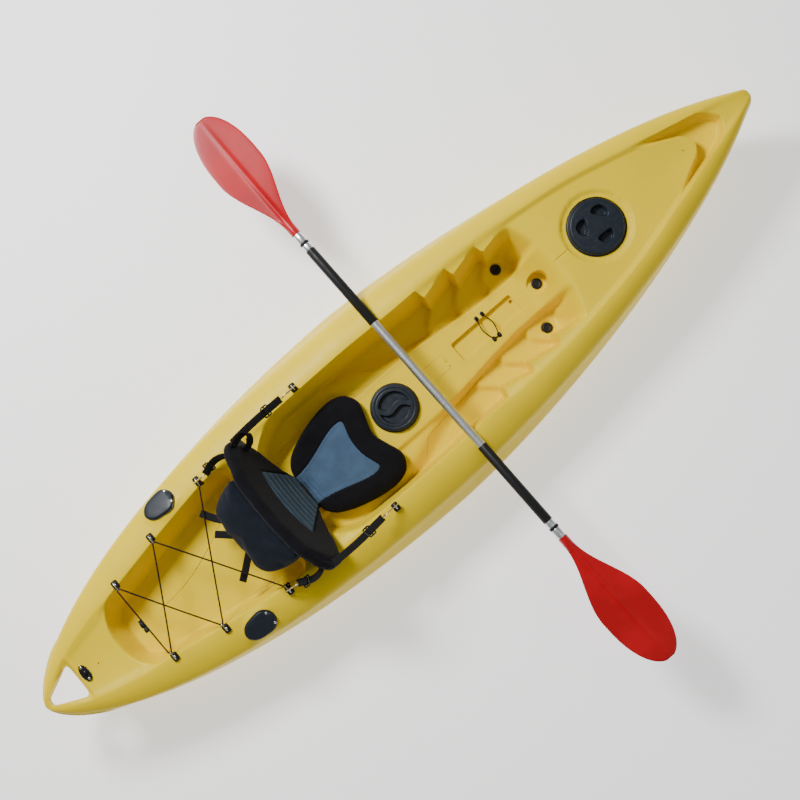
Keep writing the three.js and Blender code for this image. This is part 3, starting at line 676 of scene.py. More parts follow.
@dataclass(frozen=True)
class Plastic:
    """Injection-moulded plastic or rubber: one colour with a fine grain."""

    name: str
    colour: Colour
    roughness: float = 0.4
    grain_mm: float = 0.25
    grain_scale: float = 900.0

    def build(self) -> bpy.types.Material:
        """The material."""
        s = Shader(self.name)
        place = s.place()
        dust = s.noise(place, 60.0, 5)
        s.set(Base_Color=s.blend(s.span(dust, 0.45, 0.8), rgba(self.colour), rgba(self.colour, 1.25)))
        s.set(Roughness=s.span(dust, 0.3, 0.75, self.roughness - 0.06, self.roughness + 0.1))
        s.set(Specular_IOR_Level=0.28)
        s.bump(s.noise(place, self.grain_scale, 2), self.grain_mm, 0.2)
        return s.material


@dataclass(frozen=True)
class Metal:
    """Metal with a fine brushed or worn face."""

    name: str
    colour: Colour
    roughness: float = 0.25
    scuff: float = 0.1

    def build(self) -> bpy.types.Material:
        """The material."""
        s = Shader(self.name)
        place = s.place()
        wear = s.noise(place, 140.0, 4)
        s.set(Base_Color=rgba(self.colour), Metallic=1.0)
        s.set(Roughness=s.span(wear, 0.3, 0.75, self.roughness, self.roughness + self.scuff))
        s.bump(wear, 0.15, 0.15)
        return s.material


@dataclass(frozen=True)
class Braid:
    """Braided cord or woven webbing, read from the piece's stored (along, across) millimetres."""

    name: str
    colour: Colour
    along: float = 2.2
    across: float = 1.6
    fleck: Colour = (0.02, 0.02, 0.022)

    def build(self) -> bpy.types.Material:
        """The material: two crossing waves make the weave."""
        s = Shader(self.name)
        weave = s.place("weave")
        u = s.math("MULTIPLY", s.axis(weave, "X"), 2 * math.pi / self.along)
        v = s.math("MULTIPLY", s.axis(weave, "Y"), 2 * math.pi / self.across)
        waves = [s.math("SINE", s.math(way, u, v)) for way in ("ADD", "SUBTRACT")]
        height = s.math("MULTIPLY", *waves)
        share = s.math("MULTIPLY_ADD", height, 0.5, 0.5)
        s.set(Base_Color=s.blend(share, rgba(self.colour), rgba(self.fleck)), Roughness=0.85)
        s.set(Specular_IOR_Level=0.15)
        s.bump(share, 0.5, 0.6)
        return s.material


@dataclass(frozen=True)
class SeatFabric:
    """Neoprene-faced foam: black round a lighter panel.

    The piece stores a vector "panel" for each vertex, whose first number is 1 inside the lighter panel and 0
    outside it.
    """

    name: str
    border: Colour = (0.004, 0.004, 0.006)
    panel: Colour = (0.055, 0.098, 0.165)

    def build(self) -> bpy.types.Material:
        """The material."""
        s = Shader(self.name)
        place = s.place()
        marks = s.place("panel")
        inside = s.span(s.axis(marks, "X"), 0.42, 0.58)
        worn = s.noise(place, 22.0, 5)
        light = s.blend(s.span(worn, 0.35, 0.7), rgba(self.panel, 0.9), rgba(self.panel, 1.1))
        dark = s.blend(s.span(worn, 0.35, 0.75), rgba(self.border), rgba(self.border, 1.35))
        s.set(Base_Color=s.blend(inside, dark, light), Roughness=0.85)
        s.set(Specular_IOR_Level=0.12, Sheen_Weight=0.04, Sheen_Roughness=0.5)
        s.bump(s.noise(place, 700.0, 2), 0.6, 0.5)
        s.bump(s.noise(place, 45.0, 3), 3.0, 0.25)
        return s.material


@dataclass(frozen=True)
class BladePlastic:
    """Glossy, slightly translucent moulded red."""

    name: str = "blade_red"
    colour: Colour = (0.50, 0.0, 0.006)

    def build(self) -> bpy.types.Material:
        """The material."""
        s = Shader(self.name)
        place = s.place()
        cloud = s.noise(place, 9.0, 3)
        s.set(Base_Color=s.blend(s.span(cloud, 0.35, 0.7), rgba(self.colour, 0.9), rgba(self.colour, 1.12)))
        s.set(Roughness=0.36, Transmission_Weight=0.08, IOR=1.49, Specular_IOR_Level=0.3)
        s.bump(s.noise(place, 60.0, 3), 0.7, 0.15)
        return s.material


@dataclass(frozen=True)
class Studio:
    """Pale floor material."""

    colour: Colour = (0.9, 0.9, 0.9)
    glow: float = 0.85

    def build(self) -> bpy.types.Material:
        """The material, lit a little from within like a light table."""
        s = Shader("floor")
        s.set(Base_Color=rgba(self.colour), Roughness=0.9, Specular_IOR_Level=0.0)
        s.set(Emission_Color=rgba((1.0, 1.0, 1.0)), Emission_Strength=self.glow)
        return s.material


# ---------------------------------------------------------------- hull


@dataclass(frozen=True)
class HullForm:
    """The hull's shape as heights over the floor and half widths from the centreline, in millimetres."""

    length: float = 2950
    beam: float = 748
    flare: float = 26
    flare_ends: float = 8
    widest_x: float = -40
    side_share: float = 0.62
    gunwale_z: float = 230
    bow_sheer: float = 72
    stern_sheer: float = 48
    rail_rise: float = 54
    keel_flat: float = 0.56
    keel_half: float = 20
    keel_level: float = 0.2
    tunnel: float = 12
    tunnel_span: float = 130
    dish_depth: float = 17
    handle_x: float = -1338
    handle_bar: float = 33
    handle_half: float = 64
    handle_depth: float = 42
    tank: tuple[float, float] = (-1176, -546)
    tank_floor: float = 158
    tank_wall: float = 34
    tank_round: float = 76
    cockpit: tuple[float, float] = (-505, 682)
    cockpit_wall: float = 28
    cockpit_round: float = 190
    seat_floor: float = 126
    spine_top: float = 138
    spine_halves: tuple[float, float] = (114, 79)
    leg_floor: float = 92
    leg_aft: float = 96
    tooth_x: float = 273
    tooth_pitch: float = 118
    tooth_depth: float = 34
    step_x: float = 218
    step_rise: float = 22
    step_lean: float = 55
    bulkhead: tuple[float, float] = (236, 3)
    bow_hatch_x: float = 842
    rod: tuple[float, float, float] = (-790, 250, 274)
    rod_tilt: float = 20
    rod_pad: tuple[float, float] = (80, 50)
    grab: tuple[float, float, float] = (1062, 1353, 46)
    nose: float = 31

    def to_tip(self, x: np.ndarray) -> np.ndarray:
        """Distance from the widest station, 0 there and 1 at the tip."""
        half = self.length / 2
        fore = (x - self.widest_x) / (half - self.widest_x)
        aft = (self.widest_x - x) / (half + self.widest_x)
        return clamp(np.where(x > self.widest_x, fore, aft))

    def half_hull(self, x: np.ndarray) -> np.ndarray:
        """Half width at the widest line of the sides: (1 - t^p)^q of the half beam."""
        t = self.to_tip(x)
        fore = (1 - t**1.6) ** 0.7
        aft = (1 - t**2.1) ** 0.6
        plan = self.beam / 2 * np.where(x > self.widest_x, fore, aft)
        d = np.maximum(self.length / 2 - x, 0)
        blunt = self.nose**2 * (1 - np.exp(-d / 8)) * np.exp(-d / 60)
        return np.sqrt(plan**2 + blunt)

    def half_deck(self, x: np.ndarray) -> np.ndarray:
        """Half width of the deck at its edge."""
        b = self.half_hull(x)
        return b - np.minimum(self.flare * np.exp(-((x / 700) ** 2)) + self.flare_ends, 0.25 * b)

    def edge(self, x: np.ndarray) -> np.ndarray:
        """Height of the deck's edge, rising to both tips."""
        t = self.to_tip(x)
        rise = np.where(x > self.widest_x, self.bow_sheer * t**2.2, self.stern_sheer * t**2.4)
        return self.gunwale_z + rise

    def crest_rise(self, x: np.ndarray) -> np.ndarray:
        """Height of the side rail's crest over the deck's edge."""
        t = self.to_tip(x)
        return (self.rail_rise - 22 * t) * np.sqrt(1 - t**10)

    def crest(self, x: np.ndarray) -> np.ndarray:
        """Half width between the crests of the side rails."""
        aft, middle, fore = ease((-450 - x) / 700), ease((x - 100) / 500), ease((x - 800) / 500)
        return self.half_deck(x) * (0.695 - 0.1 * aft + 0.058 * middle - 0.15 * fore)

    def keel(self, x: np.ndarray) -> np.ndarray:
        """Height of the stem, keel and stern along the centreline, level amidships."""
        t = self.to_tip(x)
        rocker = clamp((t - self.keel_level) / (1 - self.keel_level))
        stem = self.edge(x) * (1 - np.sqrt(1 - rocker**4.6))
        handle = np.where(x < 0, ease((self.handle_x + 70 - x) / 90), 0)
        under = mix(self.edge(x), self.edge(x) - self.handle_depth / 2, np.sqrt(1 - t**40))
        return mix(stem, under, handle)

    def widest_height(self, x: np.ndarray) -> np.ndarray:
        """Height of the widest line of the sides."""
        return mix(self.keel(x), self.edge(x), self.side_share)

    def bottom(self, x: np.ndarray, y: np.ndarray) -> np.ndarray:
        """Height of the bottom: level keels with two tunnels between them, then a round bilge."""
        t = self.to_tip(x)
        share = clamp(np.abs(y) / np.maximum(self.half_hull(x), 1e-6))
        level = self.keel_flat * (1 - t**2)
        bilge = clamp((share - level) / (1 - level))
        power = 2 - 0.75 * t**2
        across = clamp((np.abs(y) - self.keel_half) / self.tunnel_span)
        tunnel = self.tunnel * np.sin(np.pi * across) ** 2 * (1 - t**1.5) ** 1.5
        rise = self.widest_height(x) - self.keel(x)
        return self.keel(x) + rise * (1 - (1 - bilge**power) ** (1 / power)) + np.minimum(tunnel, rise)

    def topside(self, x: np.ndarray, share: float) -> tuple[np.ndarray, np.ndarray]:
        """Half width and height of the side a share of the way from its widest line to the deck's edge."""
        out = (1 - share) ** 1.4 * (1 + 0.4 * share)
        return mix(self.half_deck(x), self.half_hull(x), out), mix(self.widest_height(x), self.edge(x), share)

    def spine_half(self, x: np.ndarray) -> np.ndarray:
        """Half width of the console between the legs."""
        return mix(self.spine_halves[0], self.spine_halves[1], ease((x - 60) / 440))

    def cockpit_half(self, x: np.ndarray) -> np.ndarray:
        """Half width of the cockpit, with the foot braces as three teeth in its outer wall."""
        corner = clamp((self.cockpit[0] + self.cockpit_round - x) / self.cockpit_round)
        wall = (self.crest(x) - 2) * np.sqrt(1 - 0.86 * corner**1.7)
        along = (x - self.tooth_x) / self.tooth_pitch
        tooth = np.clip(np.floor(along), 0, 2)
        jump = ease((x - self.tooth_x - tooth * self.tooth_pitch) / 12)
        before = np.where(tooth == 0, wall, wall - 3 - 4 * tooth)
        after = wall - self.tooth_depth - 3 - 3 * tooth + (along - tooth) * (self.tooth_depth - 3)
        return np.where(along < 0, wall, mix(before, after, jump))

    def tank_half(self, x: np.ndarray) -> np.ndarray:
        """Half width of the tank well, which is round at its aft end."""
        aft = clamp((self.tank[0] + self.tank_round - x) / self.tank_round)
        fore = clamp((x - self.tank[1] + 40) / 40)
        return (self.crest(x) - 2) * np.sqrt(1 - aft * aft) * np.sqrt(1 - 0.4 * fore * fore)

    def cockpit_floor(self, x: np.ndarray, y: np.ndarray) -> np.ndarray:
        """Seat floor, console, and leg channels with their heel steps."""
        a = np.abs(y)
        aside = ease((a - self.spine_half(x) + 9) / 18)
        leg_start = self.leg_aft - (a - 118) * 2.7
        along = (x - self.step_x - self.step_lean * ease((a - 120) / 70)) / self.tooth_pitch
        step = clamp(np.floor(along))
        part = np.mod(along, 1)
        rise = np.where(along < 0, 0, ease(part * self.tooth_pitch / 26) * (1 - part))
        leg = mix(self.seat_floor, self.leg_floor, ease((x - leg_start + 60) / 160))
        leg = leg + self.step_rise * rise * np.where(along < 3, 1, step)
        return mix(self.spine_top, leg, aside)

    def pad_share(self, x: np.ndarray, a: np.ndarray) -> np.ndarray:
        """Share of the flat pad moulded round a rod holder."""
        away = np.hypot((x - self.rod[0] - 8) / self.rod_pad[0], (a - self.rod[1]) / self.rod_pad[1])
        return ease((1 - away) / 0.24)

    def grab_depth(self, x: np.ndarray, y: np.ndarray) -> np.ndarray:
        """Depth of the grab pocket near the bow: a groove in the shape of a V round a raised tongue."""
        a = np.abs(y)
        aft, tip, depth = self.grab
        outer = np.minimum(self.crest(x) + 1, 8.7 * np.sqrt(np.maximum(tip - x, 0))) - a
        back = np.maximum(tip - 103 - x, 0)
        tongue = 0.49 * back + 27 * np.sqrt(clamp(back / 23)) - a - 30 * (1 - ease(back / 6))
        deepening = ease((x - aft + 20) / (tip - aft - 40))
        return depth * deepening * ease(outer / 17) * (1 - ease((tongue + 13) / 15))

    def fine(self, x: np.ndarray, y: np.ndarray) -> np.ndarray:
        """Shallow relief: the bow hatch's recess, the lip of the stern handle's hole, and a ridge aft."""
        a = np.abs(y)
        ring = np.hypot(x - self.bow_hatch_x, y)
        z = -8.5 * (1 - ease((ring - 111) / 5))
        ridge = np.exp(-(((x + 1326) / 7) ** 2)) * (1 - ease((a - 62) / 14))
        z = z + 4 * ridge
        hole = np.maximum(
            np.maximum(x - self.handle_x, -self.length / 2 + self.handle_bar - x),
            (a - self.handle_half * clamp((x + self.length / 2 - self.handle_bar) / 104)) * 0.85,
        )
        return z - 9 * (1 - ease(hole / 13)) * ease((x + self.length / 2) / 20)

    def deck(self, x: np.ndarray, y: np.ndarray) -> np.ndarray:
        """Height of the deck.

        Args:
            x: stations.
            y: distances from the centreline, in the same shape or one that broadcasts with it.

        Returns:
            Heights: the rail's outer band, the dished decks, the two wells, and the grab pocket.
        """
        x, y = np.broadcast_arrays(np.asarray(x, float), np.asarray(y, float))
        a = np.abs(y)
        b, r = self.half_deck(x), self.crest(x)
        top = self.edge(x) + self.crest_rise(x)
        up = clamp((b - a) / np.maximum(b - r, 1e-6))
        band = self.edge(x) + self.crest_rise(x) * np.sin(np.pi / 2 * up) ** 0.7
        pad = self.rod[2] - (a - self.rod[1]) * math.tan(math.radians(self.rod_tilt))
        band = mix(band, pad, self.pad_share(x, a) * ease(up / 0.1))
        dish = self.dish_depth * ease((self.length / 2 - np.abs(x)) / 260)
        inside = 0.5 * (1 - clamp(a / np.maximum(r, 1e-6)) ** 2) + 0.5 * ease((r - a) / 20)
        z = top - dish * inside
        between = ease((x - self.tank[1] + 60) / 40) * ease((self.cockpit[0] + 60 - x) / 40)
        between = between * ease((r - 8 - a) / 40)
        z = mix(z, self.bulkhead[0] + self.bulkhead[1] * (1 - (a / 200) ** 2), between)
        well = ease((self.tank_half(x) - a) / self.tank_wall)
        well = well * ease((x - self.tank[0]) / self.tank_wall) * ease((self.tank[1] - x) / self.tank_wall)
        z = mix(z, self.tank_floor, well)
        fore_run = mix(130, 92, ease((a - self.spine_half(x)) / 20))
        cockpit = ease((self.cockpit_half(x) - a) / self.cockpit_wall) * ease((x - self.cockpit[0]) / 36)
        cockpit = cockpit * ease((self.cockpit[1] - 0.0013 * y * y - x) / fore_run)
        z = mix(z, self.cockpit_floor(x, y), cockpit)
        return np.where(a >= r, band, z - self.grab_depth(x, y))

    def height(self, x: float, y: float) -> float:
        """Height of the deck at one point."""
        return float(self.deck(np.array([x]), np.array([y]))[0])


HULL = HullForm()


@dataclass
class Hull:
    """The moulded hull: one closed mesh of rings from the stern to the bow, with its openings cut."""

    form: HullForm = HULL
    columns: tuple[int, ...] = (9, 6, 9, 10, 3, 14)
    bilge: int = 10
    tray: tuple[float, float, float, float] = (380, 252, 72, 15)
    scuppers: tuple[tuple[float, float, float], ...] = ((534, 129, 22), (534, -129, 22), (598, 0, 34))
    hatches: tuple[tuple[float, float, float, float], ...] = ((842, 96, 140, 12), (-19, 82, 88, 0))
    vents: tuple[tuple[float, float, float, float, float], ...] = (
        (-1257, -3, 2.6, 262, 320), (1201, 0, 2.2, 270, 380), (207, 4, 2.0, 120, 200),
        (207, -16, 2.0, 120, 200),
    )

    def stations(self) -> np.ndarray:
        """Stations along the hull, closest together where the shape changes fastest."""
        f = self.form
        end = f.length / 2
        runs = [
            (-end + 1, -end + 12, 2), (-end + 12, f.tank[0], 5.5), (f.tank[0], f.tank[0] + 60, 3.2),
            (f.tank[0] + 60, f.tank[1] - 45, 8), (f.tank[1] - 45, f.cockpit[0] + 45, 3.4),
            (f.cockpit[0] + 45, 80, 8), (80, f.step_x, 6), (f.step_x, 640, 3.1), (640, 730, 5),
            (730, f.grab[0], 7), (f.grab[0], f.grab[1] + 6, 3.8), (f.grab[1] + 6, end - 12, 5),
            (end - 12, end, 2),
        ]
        return np.unique(np.concatenate([np.arange(a, b, step) for a, b, step in runs]).round(3))

    def half_columns(self, x: np.ndarray) -> np.ndarray:
        """Half widths of the deck's columns at each station, gathered where its surface bends.

        Args:
            x: (n,) stations.

        Returns:
            An (n, k) array from the centreline out to the deck's edge.
        """
        f = self.form
        b, r = f.half_deck(x), f.crest(x)
        scale = np.minimum(1, r / 200)
        well = np.where(x < (f.tank[1] + f.cockpit[0]) / 2, f.tank_half(x), f.cockpit_half(x))
        wall = np.minimum(np.maximum(well, 0.55 * r), r - 2 * scale)
        foot = np.maximum(wall - 34 * scale, 0.45 * r)
        spine = np.minimum(f.spine_half(x), foot - 14 * scale) * scale
        keys = [0 * x, spine - 11 * scale, spine + 11 * scale, foot, wall, r, b]
        runs = []
        for k, count in enumerate(self.columns):
            t = np.arange(count) / count
            if k == 5:
                t = t * (1.35 - 0.35 * t)
            runs.append(keys[k][:, None] + (keys[k + 1] - keys[k])[:, None] * t)
        return np.concatenate([*runs, b[:, None]], axis=1)

    def rings(self) -> np.ndarray:
        """The hull's rings: the deck from starboard to port, then the bottom back to starboard."""
        f = self.form
        x = self.stations()
        half = self.half_columns(x)
        y = np.concatenate([-half[:, :0:-1], half], axis=1)
        z = f.deck(x[:, None], y) + f.fine(x[:, None], y) * (np.abs(y) < half[:, -1:] - 2)
        deck = np.stack([np.broadcast_to(x[:, None], y.shape), y, z], axis=-1)
        tops = [f.topside(x, share) for share in (0.85, 0.66, 0.44, 0.22)]
        hull = f.half_hull(x)
        edge = np.minimum(f.keel_half, 0.08 * hull)
        shares = 0.16 + 0.84 * np.sin(np.linspace(0, np.pi / 2, self.bilge))
        low = [hull * s for s in shares[::-1]] + [edge, edge / 2, 0 * x]
        lines = tops + [(w, f.bottom(x, w)) for w in low]
        port = np.stack([np.stack([x, w, h], -1) for w, h in lines], axis=1)
        starboard = port[:, -2::-1] * [1, -1, 1]
        return np.concatenate([deck, port, starboard], axis=1)

    @staticmethod
    def prism(name: str, outline: np.ndarray, low: float, high: float) -> bpy.types.Object:
        """A closed prism over an (n, 2) outline."""
        return solid(name, layered([(outline, low), (outline, high)]))

    @staticmethod
    def rounded_outline(corners: list[tuple[float, float]], radii: list[float]) -> np.ndarray:
        """A polygon's outline with each corner rounded by a quadratic curve of that reach."""
        p = np.array(corners, float)
        out = []
        for k, radius in enumerate(radii):
            reach = [(q - p[k]) * radius / np.linalg.norm(q - p[k]) for q in (p[k - 1], p[(k + 1) % len(p)])]
            t = np.linspace(0, 1, 9)[:, None]
            out.append((1 - t) ** 2 * (p[k] + reach[0]) + 2 * t * (1 - t) * p[k] + t**2 * (p[k] + reach[1]))
        return np.vstack(out)

    def groove(
        self, points: list[tuple[float, float]], radius: float, mirror: bool
    ) -> list[bpy.types.Object]:
        """Round-bottomed grooves along lines on the deck.

        Args:
            points: (x, y) points of the line.
            radius: half the groove's width.
            mirror: whether it is also cut on the other side.

        Returns:
            Closed tubes to cut out of the hull.
        """
        tools = []
        for flip in (1, -1) if mirror else (1,):
            line = np.array([(x, y * flip, 0.0) for x, y in points])
            path = spline(line, max(8, int(np.linalg.norm(np.diff(line, axis=0), axis=1).sum() / 7)))
            path[:, 2] = self.form.deck(path[:, 0], path[:, 1])
            ends = np.sin(np.linspace(0, np.pi, len(path))) ** 0.25 * 0.999 + 0.05
            tools.append(solid("groove", sweep_grid(path, round_section(radius, 10), scale=ends)))
        return tools

    def plug_seat(self, x: float, y: float, r: float) -> float:
        """Floor of the round recess that a scupper plug's flange lies in."""
        around = [(0, 0), (r, 0), (-r, 0), (0, r), (0, -r)]
        return min(self.form.height(x + dx, y + dy) for dx, dy in around) - 1

    def rod_frame(self, side: int) -> np.ndarray:
        """Matrix of a rod holder's own frame, on the rail and tilted outwards."""
        x, y, z = self.form.rod
        return at(x, side * y, z + 2, -side * self.form.rod_tilt, "X")

    def pockets(self) -> list[bpy.types.Object]:
        """Tools for the stern handle, the hatches' pockets, the console tray, and every round hole."""
        f = self.form
        aft, wide = -f.length / 2 + f.handle_bar - 12, f.handle_half + 5
        corners = [(aft, -12), (f.handle_x, -wide), (f.handle_x, wide), (aft, 12)]
        tools = [self.prism("handle", self.rounded_outline(corners, [11, 30, 30, 11]), 150, 400)]
        disc = round_section(1.0, 72)
        for x, rim, pocket, drop_by in self.hatches:
            seat = f.height(x, 0) - drop_by
            tools.append(self.prism("hatch_seat", disc * (rim + 0.7) + [x, 0], seat, seat + 90))
            tools.append(self.prism("hatch_pocket", disc * (rim - 15) + [x, 0], seat - pocket, seat + 10))
        x, long, wide, deep = self.tray
        corners = [(x + a * long / 2, b * wide / 2) for a, b in ((-1, -1), (1, -1), (1, 1), (-1, 1))]
        floor = f.spine_top - deep
        tools.append(self.prism("tray", self.rounded_outline(corners, [9] * 4), floor, f.spine_top + 60))
        holes = [(x + long / 2 - 9, 14, 6.5, floor - 14, 190)]
        for x, y, recess in self.scuppers:
            holes += [(x, y, 14, -10, 300), (x, y, recess, self.plug_seat(x, y, recess), 320)]
        ring = round_section(1.0, 40)
        for x, y, radius, low, high in (*holes, *self.vents):
            tools.append(self.prism("hole", ring * radius + [x, y], low, high))
        return tools

    def grooves(self) -> list[bpy.types.Object]:
        """Tools for the moulded lines: on the tank well's floor, the seat's, the console and its square."""
        lines = [
            ([(-1034, 5), (-947, 8), (-868, 23), (-789, 49), (-694, 90)], 2.8, False),
            ([(-409, 145), (-368, 145), (-330, 145)], 2.2, False),
            ([(-46, 191), (-22, 166), (2, 145), (49, 137), (96, 130), (191, 119), (270, 107)], 3.0, True),
            ([(664, 4), (697, 4), (732, 4)], 3.4, False),
        ]
        box = [(125, -23), (212, -23), (212, 30), (125, 30), (125, -23)]
        for a, b in zip(box[:-1], box[1:], strict=True):
            lines.append(([a, ((a[0] + b[0]) / 2, (a[1] + b[1]) / 2), b], 1.8, False))
        return [tool for line in lines for tool in self.groove(*line)]

    def rod_seats(self) -> list[bpy.types.Object]:
        """Tools for the rod holders' flanges and pipes."""
        flange = RodHolder.shield(4, 64)
        tools = []
        for side, _ in SIDES:
            m = self.rod_frame(side)
            tools.append(solid("rod_seat", placed(layered([(flange, -2.0), (flange, 60.0)]), m)))
            tools.append(solid("rod_pipe", placed(RodHolder.pipe_grid(24.1, 154, -20), m)))
        return tools

    def build(self) -> bpy.types.Object:
        """The hull, dressed."""
        hull = solid("hull_moulding", self.rings())
        carve(hull, [*self.pockets(), *self.grooves(), *self.rod_seats()])
        crisp(hull, 52)
        return dress(hull, MouldedPlastic().build(), Slot.MOULDING, Body.KAYAK, "hull")


# ---------------------------------------------------------------- deck fittings


@dataclass
class RodHolder:
    """A flush rod holder on a side rail, with its rubber cap."""

    side: int
    word: str
    bore: float = 20
    wall: float = 3.5
    depth: float = 150

    @staticmethod
    def shield(grow: float, count: int) -> np.ndarray:
        """Outline of the flange: a shield with its narrow end aft, grown by a margin."""
        l, w = 56 + grow, 40 + grow
        half = [(0.05, 1.0), (0.62, 0.95), (1.0, 0.35)]
        pts = [(-l, 0.0), (-0.72 * l, 0.7 * w), *((a * l, b * w) for a, b in half)]
        pts += [(a * l, -b * w) for a, b in half[::-1]] + [(-0.72 * l, -0.7 * w)]
        return spline(np.array([(x, y, 0.0) for x, y in pts]), count, closed=True)[:, :2]

    @staticmethod
    def pipe_grid(radius: float, length: float, low: float) -> np.ndarray:
        """Rings of the pipe in the holder's frame: down and forward, so that a rod leans aft."""
        ring = round_section(radius, 40)
        return turned_about(layered([(ring, -low), (ring, -length)]), (0, 1, 0), -30)

    def layers(self, name: str, steps: list[tuple[float, float]], m: np.ndarray) -> bpy.types.Object:
        """A solid of shield outlines, each grown by a margin at a height, closed by a cap at each end."""
        return solid(name, placed(layered((self.shield(grow, 96), z) for grow, z in steps), m))

    def build(self, hull: Hull) -> None:
        """Makes the holder's flange and pipe, the cap over it, and its two screws."""
        m = hull.rod_frame(self.side)
        plate = self.layers("plate", [(0, -1.7), (0, 1.8), (-0.5, 2.7), (-1.6, 3.0)], m)
        sleeve = solid("sleeve", placed(self.pipe_grid(self.bore + self.wall, self.depth, 8), m))
        bore = solid("bore", placed(self.pipe_grid(self.bore, self.depth + 10, -20), m))
        disc = round_section(90, 24)
        above = solid("above", placed(layered([(disc, 3.02), (disc, 60.0)]), m))
        union = plate.modifiers.new("union", "BOOLEAN")
        union.operation, union.solver, union.object = "UNION", "MANIFOLD", sleeve
        bake(plate)
        drop(sleeve)
        carve(plate, [bore, above])
        crisp(plate, 35)
        plate.name = f"rod_flange_{self.word}"
        dress(plate, FINISH.slate, Slot.HATCH, Body.KAYAK, f"rod_holder_{self.word}")
        crown = [(-4.2, 3.3), (-3.0, 4.0), (-2.8, 6.2), (-3.6, 7.6), (-5.6, 8.6), (-9, 9.1), (-20, 9.6)]
        cap = self.layers("cap", crown, m)
        tab = solid("tab", placed(self.tab_grid(), m))
        whole = joined(f"rod_cap_cover_{self.word}", [cap, tab])
        crisp(whole, 45)
        body = Body[f"CAP_{self.word.upper()}"]
        dress(whole, FINISH.slate, Slot.RUBBER, body, f"rod_cap_{self.word}")
        screws = [screw(m @ at(43, y, 8.3, turn), 4.6) for y, turn in ((22, 20), (-22, 75))]
        dress(joined(f"rod_cap_screws_{self.word}", screws), FINISH.steel, Slot.STEEL, body)

    def tab_grid(self) -> np.ndarray:
        """The finger tab at the cap's forward end: a flat tongue with a rolled edge."""
        t = np.linspace(0, 1, 9)
        path = np.stack([40 + 17 * t, 0 * t, 8.2 + 3.5 * t**2], axis=1)
        return sweep_grid(path, flat_section(30, 3.4), side=np.array([0, 1, 0]), scale=1 - 0.35 * t**3)


class Finishes:
    """The materials, each made once."""

    slate: bpy.types.Material
    rubber: bpy.types.Material
    black: bpy.types.Material
    steel: bpy.types.Material
    brass: bpy.types.Material
    tube: bpy.types.Material
    hold: bpy.types.Material
    blade: bpy.types.Material
    cord: bpy.types.Material
    web: bpy.types.Material
    seat: bpy.types.Material
    ribbed: bpy.types.Material
    bag: bpy.types.Material

    def build(self) -> None:
        """Makes the materials after the scene is loaded."""
        self.slate = Plastic("slate_plastic", (0.012, 0.018, 0.026), 0.4).build()
        self.rubber = Plastic("black_rubber", (0.010, 0.010, 0.012), 0.6, 0.4, 600).build()
        self.black = Plastic("black_plastic", (0.008, 0.008, 0.009), 0.35).build()
        self.steel = Metal("steel", (0.72, 0.72, 0.73), 0.2).build()
        self.brass = Metal("brass", (0.72, 0.6, 0.36), 0.24).build()
        self.tube = Metal("paddle_tube", (0.80, 0.84, 0.87), 0.3, 0.12).build()
        self.hold = Plastic("paddle_hold", (0.008, 0.008, 0.009), 0.5, 0.5, 500).build()
        self.blade = BladePlastic().build()
        self.cord = Braid("shock_cord", (0.010, 0.006, 0.006), 3.0, 2.6, (0.035, 0.016, 0.018)).build()
        self.web = Braid("webbing", (0.005, 0.005, 0.006), 2.4, 2.4, (0.016, 0.016, 0.018)).build()
        self.seat = SeatFabric("seat_fabric").build()
        self.ribbed = SeatFabric("back_fabric", panel=(0.034, 0.055, 0.076)).build()
        self.bag = SeatFabric("pouch_fabric", (0.007, 0.010, 0.016), (0.007, 0.010, 0.016)).build()


FINISH = Finishes()


